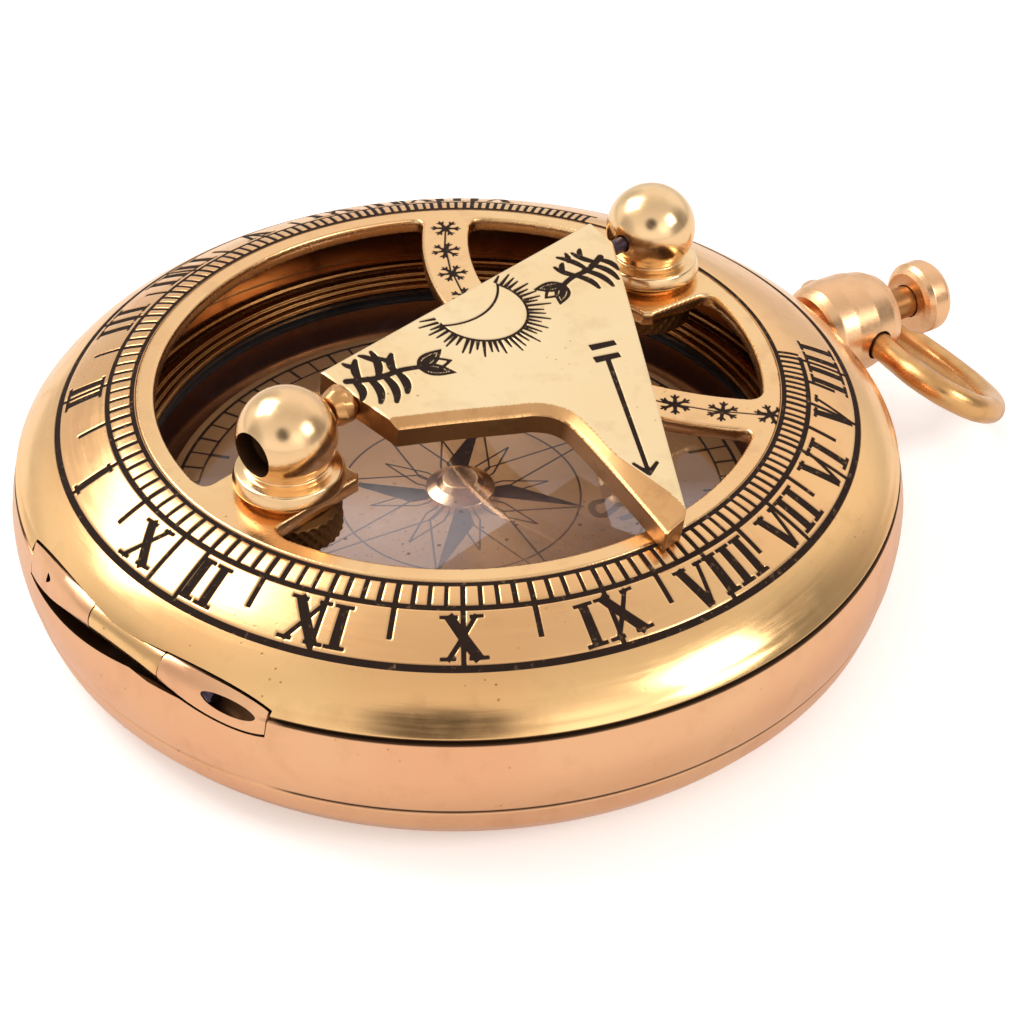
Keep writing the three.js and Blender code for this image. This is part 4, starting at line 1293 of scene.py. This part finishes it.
# letter: degrees from north, strokes (x0, y0, x1, y1, half width), y in letter half heights
CARD_LETTERS = {
    "N": (0, [(-0.66, -1, -0.66, 1, 0.14), (0.66, -1, 0.66, 1, 0.14), (-0.66, 1, 0.66, -1, 0.22)]),
    "W": (90, [(-1.05, 1, -0.52, -1, 0.2), (-0.52, -1, 0, 0.7, 0.11), (0, 0.7, 0.52, -1, 0.2),
               (0.52, -1, 1.05, 1, 0.11)]),
    "S": (180, [(*p, *q, 0.2) for p, q in zip(S_CURVE[:-1], S_CURVE[1:])]),
    "E": (270, [(-0.55, -1, -0.55, 1, 0.22), (-0.5, 1, 0.66, 1, 0.12), (-0.5, 0, 0.45, 0, 0.12),
                (-0.5, -1, 0.66, -1, 0.12)]),
}


def card_ink(r, a):
    """Degree scale, sixteen point rose and four letters."""
    d = np.full(r.shape, FAR)
    x, y = r * np.cos(a), r * np.sin(a)
    # circles: radius, half width
    for radius, half in ((16.35, 0.09), (15.1, 0.06), (11.2, 0.10), (10.7, 0.05), (6.9, 0.05)):
        d = np.minimum(d, np.abs(r - radius) - half)
    # ticks: step in degrees, inner and outer radius, half width
    for step, r0, r1, half in ((5, 15.1, 16.35, 0.07), (15, 13.9, 15.2, 0.11)):
        off = (np.degrees(a) % 360 + step / 2) % step - step / 2
        d = np.minimum(d, np.where((r > r0) & (r < r1), np.abs(np.deg2rad(off) * r) - half, FAR))
    for k in range(16):
        az = rad(CARD_NORTH + k * 22.5)
        # length and half width of the rose point
        length, wide = (7.1, 1.25) if k % 4 == 0 else (10.5, 1.05) if k % 2 == 0 else (5.2, 0.6)
        u = x * math.cos(az) + y * math.sin(az)
        v = -x * math.sin(az) + y * math.cos(az)
        half = np.where(u < 2.6, wide * u / 2.6, wide * (length - u) / (length - 2.6))
        kite = np.where((u > 0.2) & (u < length), np.abs(v) - half, FAR)
        d = np.minimum(d, np.abs(kite) - 0.05)
        if k % 4 == 0:
            d = np.minimum(d, np.where(v > 0, kite, FAR))
    for turn, strokes in CARD_LETTERS.values():
        az = rad(CARD_NORTH + turn)
        py = x * math.cos(az) + y * math.sin(az) - 8.75
        px = x * math.sin(az) - y * math.cos(az)
        for x0, y0, x1, y1, half in strokes:
            d = np.minimum(d, stroke(px, py, x0, y0 * LETTER_HALF, x1, y1 * LETTER_HALF, half,
                                     soft=True))
    return cover(d, 0.05)


def build_card():
    radii = np.concatenate([[1.5, 1.56], np.linspace(1.7, 16.78, 205), [16.86, 16.9]])
    r, angle = polar_grid(radii, 900)
    ink = card_ink(r, angle)
    height = np.full(r.shape, 3.6) - 0.035 * ink
    # eased edges
    height[:, 0] -= 0.05
    height[:, -1] -= 0.06
    height[:, -2] -= 0.015
    under = np.array([(16.9, 3.26), (16.84, 3.2), (1.56, 3.2), (1.5, 3.26)])
    ob = engraved_ring("card_engraved", r, angle, height, under, ink, MAT["card"])
    fit(ob, "card", "card_brass", "compass_card")


def build_card_fittings():
    hub = lathe("hub_turned", [
        (0, 4.1), (0.72, 3.2, 0.05), (1.42, 3.18, 0.04), (1.42, 3.66, 0.03), (2.0, 3.66, 0.06),
        (2.0, 4.1, 0.14), (1.35, 4.42, 0.15), (1.0, 4.72, 0.12), (0, 4.75)], MAT["post"], 96)
    fit(hub, "card", "card_brass", "card_hub", crease=38)
    pivot = lathe("pivot_turned", [
        (0, 1.78), (1.3, 1.78, 0.06), (1.3, 2.1, 0.1), (0.45, 2.12, 0.12), (0.35, 3.3),
        (0.12, 3.72), (0, 3.88)], MAT["steel"], 56)
    fit(pivot, "case", "steel", "card_pivot", crease=38)
    bar = polygon_distance([(-11, 0), (-10.2, 1.1), (10.2, 1.1), (11, 0), (10.2, -1.1),
                            (-10.2, -1.1)])
    magnet = sheet("magnet_bar", lambda x, y: np.maximum(bar(x, y), 0.9 - np.hypot(x, y)),
                   -11.1, 11.1, -1.2, 1.2, step=0.12, mat=MAT["steel"],
                   top=lambda x, y: 3.14, bottom=2.45, edge_r=0.12)
    fit(magnet, "card", "steel", "card_magnet", crease=40)


# ------------------------------------------------------------------ springs in the rim
def arc_strip(name, r0, r1, start, end, z0, z1, count=90, edge=0.05):
    """A bent steel strip on edge, between two azimuths in degrees, with eased edges."""
    profile = fillet([(r0, z0, edge), (r1, z0, edge), (r1, z1, edge), (r0, z1, edge)], True, 3)
    m = len(profile)
    verts = [(r * math.cos(t), r * math.sin(t), z)
             for t in np.radians(np.linspace(start, end, count)) for r, z in profile]
    faces = [(i * m + j, (i + 1) * m + j, (i + 1) * m + (j + 1) % m, i * m + (j + 1) % m)
             for i in range(count - 1) for j in range(m)]
    faces += [tuple(range(m)), tuple((count - 1) * m + k for k in reversed(range(m)))]
    ob = make(name, verts, faces, MAT["steel"])
    cleanup(ob)
    return ob


def build_screw(name, node, x, y, shank_r, shank_z, head_r, head_z, top):
    ob = lathe(name, [
        (0, 4.55), (shank_r, 4.55, 0.04), (shank_r, shank_z, 0.03), (head_r, shank_z, 0.05),
        (head_r, head_z, 0.08), (head_r * 0.72, top, 0.1), (0, top + 0.02)],
        MAT["steel"], 64, at=(x, y, 0))
    slot = box(x - 0.09, x + 0.09, y - 2, y + 2, top - 0.22, top + 0.3, MAT["steel"])
    boolean(ob, turn_z(slot, 0.7, (x, y, 0)))
    fit(ob, "case", "steel", node, crease=36)


def build_latch():
    """A curved spring from a screwed eye to a hook at the pendant."""
    steel_mat = MAT["steel"]
    r0, r1 = 21.76, 22.09
    hook_at = math.degrees(PENDANT_TURN)
    eye_at = hook_at - 50
    x, y = 22.15 * math.cos(rad(eye_at)), 22.15 * math.sin(rad(eye_at))
    ob = arc_strip("latch_spring_strip", r0, r1, eye_at + 3.3, hook_at + 4, 5.52, 6.88)
    boolean(ob, arc_strip("link", r0, r1, eye_at + 1.7, eye_at + 4.6, 5.52, 6.14,
                          count=12, edge=0.04), "UNION")
    boolean(ob, lathe("eye", [(0.52, 5.46, 0.03), (1.04, 5.46, 0.05), (1.04, 6.19, 0.05),
                              (0.52, 6.19, 0.03)], steel_mat, 64, at=(x, y, 0)), "UNION")
    hook = box(21.77, 22.08, -1.48, 1.48, 5.54, 7.88, steel_mat, edge=0.05)
    boolean(ob, turn_z(hook, PENDANT_TURN), "UNION")
    nose = box(21.82, 22.34, -1.46, 1.46, 7.56, 7.89, steel_mat, edge=0.05)
    boolean(ob, turn_z(nose, PENDANT_TURN), "UNION")
    fit(ob, "latch", "steel", "latch_spring", crease=36)
    build_screw("latch_screw_slotted", "latch_screw", x, y, shank_r=0.44, shank_z=6.25,
                head_r=0.95, head_z=6.58, top=6.78)


def build_lift():
    """A rising leaf spring, built along Y at the rim and turned into place."""
    turn, radius, screw_back = rad(222), 21.66, 4.9
    half_width, thick = 0.5, 0.32
    # y, height of the underside
    line = catmull([(-6.2, 5.4), (-3.6, 5.4), (-1.5, 5.75), (1.5, 6.75), (4.2, 7.72),
                    (5.8, 8.03)], 8)
    section = ((-half_width, 0.0), (half_width, 0.0), (half_width, thick), (-half_width, thick))
    verts = [(radius + dx, y, z + dz) for y, z in line for dx, dz in section]
    n = len(line)
    faces = [(k * 4 + j, k * 4 + (j + 1) % 4, (k + 1) * 4 + (j + 1) % 4, (k + 1) * 4 + j)
             for k in range(n - 1) for j in range(4)]
    faces += [(0, 3, 2, 1), tuple((n - 1) * 4 + j for j in range(4))]
    ob = make("lift_spring_leaf", verts, faces, MAT["steel"])
    cleanup(ob)
    with editing(ob) as bm:
        edges = [e for e in bm.edges if len(e.link_faces) == 2 and e.calc_face_angle(0) > rad(60)]
        bevel(bm, edges, 0.04, segments=2)
    turn_z(ob, turn)
    x = radius * math.cos(turn) + screw_back * math.sin(turn)
    y = radius * math.sin(turn) - screw_back * math.cos(turn)
    boolean(ob, rod(0.42, 4, 8, MAT["steel"], 40, at=(x, y, 0)))
    fit(ob, "case", "steel", "lift_spring", crease=36)
    build_screw("lift_screw_slotted", "lift_screw", x, y, shank_r=0.36, shank_z=5.78,
                head_r=0.8, head_z=6.08, top=6.28)


# ------------------------------------------------------------------ pendant, button, bow
def on_pendant(ob):
    """Move a piece built along X onto the pendant's axis."""
    ob.data.transform(Matrix.Rotation(PENDANT_TURN, 4, "Z")
                      @ Matrix.Translation(Vector((0, 0, PENDANT_Z)) * MM))
    return ob


def tube(name, path, radius, mat, seg, swell=None):
    """Round wire swept along a path, with eased ends. swell scales the radius from 0 to 1."""
    path = np.array(path, float)
    n = len(path)
    tangent = np.gradient(path, axis=0)
    tangent /= np.linalg.norm(tangent, axis=1)[:, None]
    up = np.array([1.0, 0, 0] if abs(tangent[0, 2]) > 0.9 else [0, 0, 1.0])
    side = np.cross(tangent[0], up)
    side /= np.linalg.norm(side)
    verts = []

    def ring(centre, t, r):
        other = np.cross(t, side)
        for j in range(seg):
            a = 2 * math.pi * j / seg
            verts.append(tuple(centre + r * (math.cos(a) * side + math.sin(a) * other)))

    def end_ring(end, t, outward, share):
        s = math.sin(share * math.pi / 2)
        ring(end + outward * t * 0.5 * radius * (1 - s) * 0.6, t, radius * s)

    for share in (0.25, 0.6, 0.85):
        end_ring(path[0], tangent[0], -1, share)
    for i in range(n):
        if i:
            side = side - tangent[i] * (side @ tangent[i])
            side /= np.linalg.norm(side)
        ring(path[i], tangent[i], radius * (swell(i / (n - 1)) if swell else 1.0))
    for share in (0.85, 0.6, 0.25):
        end_ring(path[-1], tangent[-1], 1, share)

    last = len(verts) - seg
    faces = [(a + j, a + (j + 1) % seg, a + seg + (j + 1) % seg, a + seg + j)
             for a in range(0, last, seg) for j in range(seg)]
    faces.append(tuple(reversed(range(seg))))
    faces.append(tuple(last + j for j in range(seg)))
    ob = make(name, verts, faces, mat)
    cleanup(ob)
    return ob


def build_neck():
    """The pendant neck. Its profile is radius, distance along X, corner."""
    ob = lathe("pendant_neck_turned", [
        (1.1, 23.8, 0.03), (1.7, 23.8, 0.05), (1.7, 24.95, 0.03), (2.5, 24.95, 0.08),
        (2.72, 25.15, 0.1), (2.97, 25.6, 0.4), (3.14, 26.6, 0.6), (3.11, 28.2, 0.8),
        (2.84, 29.5, 0.6), (2.46, 30.25, 0.3), (2.0, 30.58, 0.15), (1.12, 30.58, 0.05),
        (1.1, 29.9, 0.03), (1.9, 29.9, 0.05), (1.9, 25.4, 0.05), (1.1, 25.4, 0.03)],
        MAT["neck"], 180, axis="x")
    boolean(ob, rod(0.95, -5, 5, MAT["neck"], 56, axis="y", at=(BOW_X, 0, 0)))
    fit(on_pendant(ob), "case", "case_brass", "pendant_neck", crease=36)


def build_button():
    """Stem and cap, with profiles of radius, distance along X, corner."""
    # the stem wears the dark inside brass: painted shade in the gap between neck and cap
    stem = lathe("button_stem_turned", [
        (0, 22.42), (0.86, 22.42, 0.08), (1.0, 22.6, 0.08), (1.0, 28.9, 0.03), (1.72, 28.9, 0.06),
        (1.72, 29.35, 0.06), (1.0, 29.35, 0.03), (1.0, 33.6, 0.05), (0, 33.6)],
        MAT["inside"], 72, axis="x")
    fit(on_pendant(stem), "button", "case_brass", "button_stem", crease=38)
    # left open where the stem enters
    cap = lathe("button_cap_turned", [
        (1.07, 32.76, 0.04), (1.78, 32.76, 0.12), (2.08, 32.98, 0.18), (2.29, 33.28, 0.15),
        (2.30, 33.78), (2.29, 34.28, 0.2), (2.05, 34.64, 0.22), (1.5, 34.80, 0.15), (0.8, 34.84),
        (0, 34.85), (0, 33.66), (1.07, 33.66, 0.03)], MAT["neck"], 144, closed=False, axis="x")
    fit(on_pendant(cap), "button", "case_brass", "button_cap", crease=38)


# centre line of the bow in its own plane: x, y
BOW = [(0, -2.0), (0, -3.3), (-0.4, -5.0), (-0.75, -7.0), (-0.05, -8.9), (1.9, -9.8), (4.6, -9.2),
       (6.9, -7.4), (8.2, -5.0), (8.7, -2.4), (8.6, 0.2), (7.8, 2.6), (6.0, 4.3), (3.6, 5.0),
       (1.5, 4.75), (0.25, 3.9), (0, 3.1), (0, 2.0)]


def build_bow():
    line = centripetal(BOW)
    ob = tube("bow_wire", np.column_stack([line, np.zeros(len(line))]), BOW_WIRE_R, MAT["bow"],
              seg=40, swell=lambda t: 1.0 - 0.02 * math.sin(9 * t) ** 2)
    ob.data.transform(Matrix.Translation(Vector((BOW_X, 0, 0)) * MM)
                      @ Matrix.Rotation(BOW_DROOP, 4, "Y"))
    fit(on_pendant(ob), "bow", "bow_brass", "bow_ring", crease=50)


def build_button_spring():
    steps, turns, coil_r = 140, 3.5, 1.5
    path = []
    for k in range(steps + 1):
        t = k / steps
        a = t * 2 * math.pi * turns
        path.append((25.72 + 1.96 * t, coil_r * math.cos(a), coil_r * math.sin(a)))
    ob = tube("button_spring_coil", path, 0.155, MAT["steel"], seg=12)
    fit(on_pendant(ob), "case", "steel", "button_spring", crease=50)


# ------------------------------------------------------------------ floor, lights, camera
def build_floor():
    bpy.ops.mesh.primitive_plane_add(size=1)
    floor = bpy.context.object
    floor.name = "floor"
    floor.scale = (6, 6, 1)
    floor.location = (0, 0, -0.00005)
    mat, n, bsdf = new_surface("floor_white")
    rays = n.add("LightPath").outputs
    seen, mirrored = rays["Is Camera Ray"], rays["Is Glossy Ray"]
    n.wire(bsdf, {
        "Base Color": n.mix(seen, (0.62, 0.60, 0.58), (0.95, 0.95, 0.95)),
        "Roughness": 0.95,
        "Specular IOR Level": 0.0,
        "Emission Color": (1, 0.99, 0.98),
        "Emission Strength": n.plus(n.times(seen, 0.30), n.times(mirrored, 0.22)),
    })
    floor.data.materials.append(mat)


# sky brightness from the horizon behind the camera (0) over the top to the far one (1)
SKY = [(0.0, 1.0), (0.10, 1.0), (0.22, 0.86), (0.34, 0.78), (0.42, 0.68), (0.50, 0.66),
       (0.58, 0.74), (0.70, 0.92), (0.86, 0.92), (1.0, 0.62)]
# patches in the sky: direction (right, away, up), full and outer angle in degrees, change.
# A negative change dims by that share, a positive one is added.
SKY_PATCHES = [
    ((-0.05, -0.80, 0.62), 8, 19, -0.88),
    ((-0.62, 0.10, 0.78), 8, 30, 0.22),
    ((-0.50, 0.72, 0.48), 7, 24, -0.36),
    ((0.50, -0.72, 0.42), 5, 20, 0.60),
    ((1.0, -0.10, 0.16), 16, 42, -0.62),
    ((-1.0, -0.35, 0.10), 10, 30, -0.40),
]


def build_world():
    world = bpy.data.worlds.new("soft_studio")
    bpy.context.scene.world = world
    world.use_nodes = True
    n = Shader(world.node_tree)
    x, y, up = n.split(n.add("TexCoord").outputs["Generated"])
    c, s = math.cos(VIEW_TURN), math.sin(VIEW_TURN)
    right = n.minus(n.times(x, c), n.times(y, s))
    away = n.plus(n.times(x, s), n.times(y, c))

    def patch(direction, full, outer):
        length = math.sqrt(sum(d * d for d in direction))
        dx, dy, dz = (d / length for d in direction)
        dot = n.plus(n.plus(n.times(right, dx), n.times(away, dy)), n.times(up, dz))
        return n.add("MapRange", {
            "Value": dot, "From Min": math.cos(rad(outer)), "From Max": math.cos(rad(full))},
            interpolation_type="SMOOTHSTEP").outputs["Result"]

    arc = n.math("DIVIDE", n.math("ARCTAN2", up, n.times(away, -1.0)), math.pi)
    light = n.times(n.ramp(arc, *SKY), 1.10)
    for direction, full, outer, change in SKY_PATCHES:
        amount = n.times(patch(direction, full, outer), abs(change))
        if change < 0:
            light = n.times(light, n.minus(1.0, amount))
        else:
            light = n.plus(light, amount)
    tint = n.mix(n.ramp(arc, (0.0, 0), (0.5, 1), (1.0, 0.2)), (1.0, 0.985, 0.97),
                 (1.0, 0.95, 0.92))
    sky = n.add("Background", {"Color": tint, "Strength": light}).outputs[0]
    white = n.add("Background", {"Color": (1, 1, 1), "Strength": 1.0}).outputs[0]
    seen = n.add("LightPath").outputs["Is Camera Ray"]
    n.add("OutputWorld", {0: n.mix_shader(seen, sky, white)})


def from_view(v):
    """From right, away, up as the camera stands to the object's frame."""
    x, y, z = v
    c, s = math.cos(-VIEW_TURN), math.sin(-VIEW_TURN)
    return Vector((x * c - y * s, x * s + y * c, z))


def add_area_light(name, position, size, power, colour):
    """A square light at (right, away, up) in mm, aimed at a point low on the axis."""
    light = bpy.data.lights.new(name, "AREA")
    light.energy = power
    light.color = colour
    light.shape = "RECTANGLE"
    light.size = light.size_y = size * MM
    ob = bpy.data.objects.new(name, light)
    bpy.context.scene.collection.objects.link(ob)
    ob.location = from_view(position) * MM
    toward = from_view((0, 0, 10)) * MM - from_view(position) * MM
    ob.rotation_euler = toward.to_track_quat("-Z", "Y").to_euler()


def add_camera():
    down, roll = rad(38.73), rad(-0.57)
    distance, shift_right, shift_down = 110.0, 2.97, 7.612      # from the dial centre
    data = bpy.data.cameras.new("photo_camera")
    ob = bpy.data.objects.new("photo_camera", data)
    scene = bpy.context.scene
    scene.collection.objects.link(ob)
    forward = Vector((0, math.cos(down), -math.sin(down)))
    right = Vector((1, 0, 0))
    up = right.cross(forward)
    position = from_view(-forward * distance + right * shift_right - up * shift_down)
    x_axis = from_view(right * math.cos(roll) - up * math.sin(roll))
    y_axis = from_view(right * math.sin(roll) + up * math.cos(roll))
    z_axis = -from_view(forward)
    place = (position + Vector((0, 0, TOP))) * MM
    rows = [(x_axis[i], y_axis[i], z_axis[i], place[i]) for i in range(3)]
    ob.matrix_world = Matrix((*rows, (0, 0, 0, 1)))
    data.sensor_fit = "HORIZONTAL"
    data.sensor_width = 36.0
    data.lens = 70.8046875
    data.clip_start = 0.001
    data.clip_end = 20.0
    scene.camera = ob


# ------------------------------------------------------------------ build
build_dial()
build_lid_plate()
build_shoulder()
build_gnomon()
for post, (post_x, inward, pin_start, pin_end) in POSTS.items():
    build_post(post, post_x, inward)
    build_washer(post, post_x)
    build_nut(post, post_x)
    build_pin(post, pin_start, pin_end)
build_band()
build_back()
build_hinge_pin()
build_bowl_and_glass()
build_card()
build_card_fittings()
build_latch()
build_lift()
build_neck()
build_button()
build_bow()
build_button_spring()

build_floor()
build_world()
add_area_light("key_soft", (-220, 120, 300), size=220, power=0.75, colour=(1.0, 0.99, 0.97))
add_area_light("side_soft", (260, -120, 200), size=120, power=0.30, colour=(1.0, 0.98, 0.96))
add_camera()
view = bpy.context.scene.view_settings
view.view_transform = "Standard"
view.look = "None"
view.exposure = 0.0
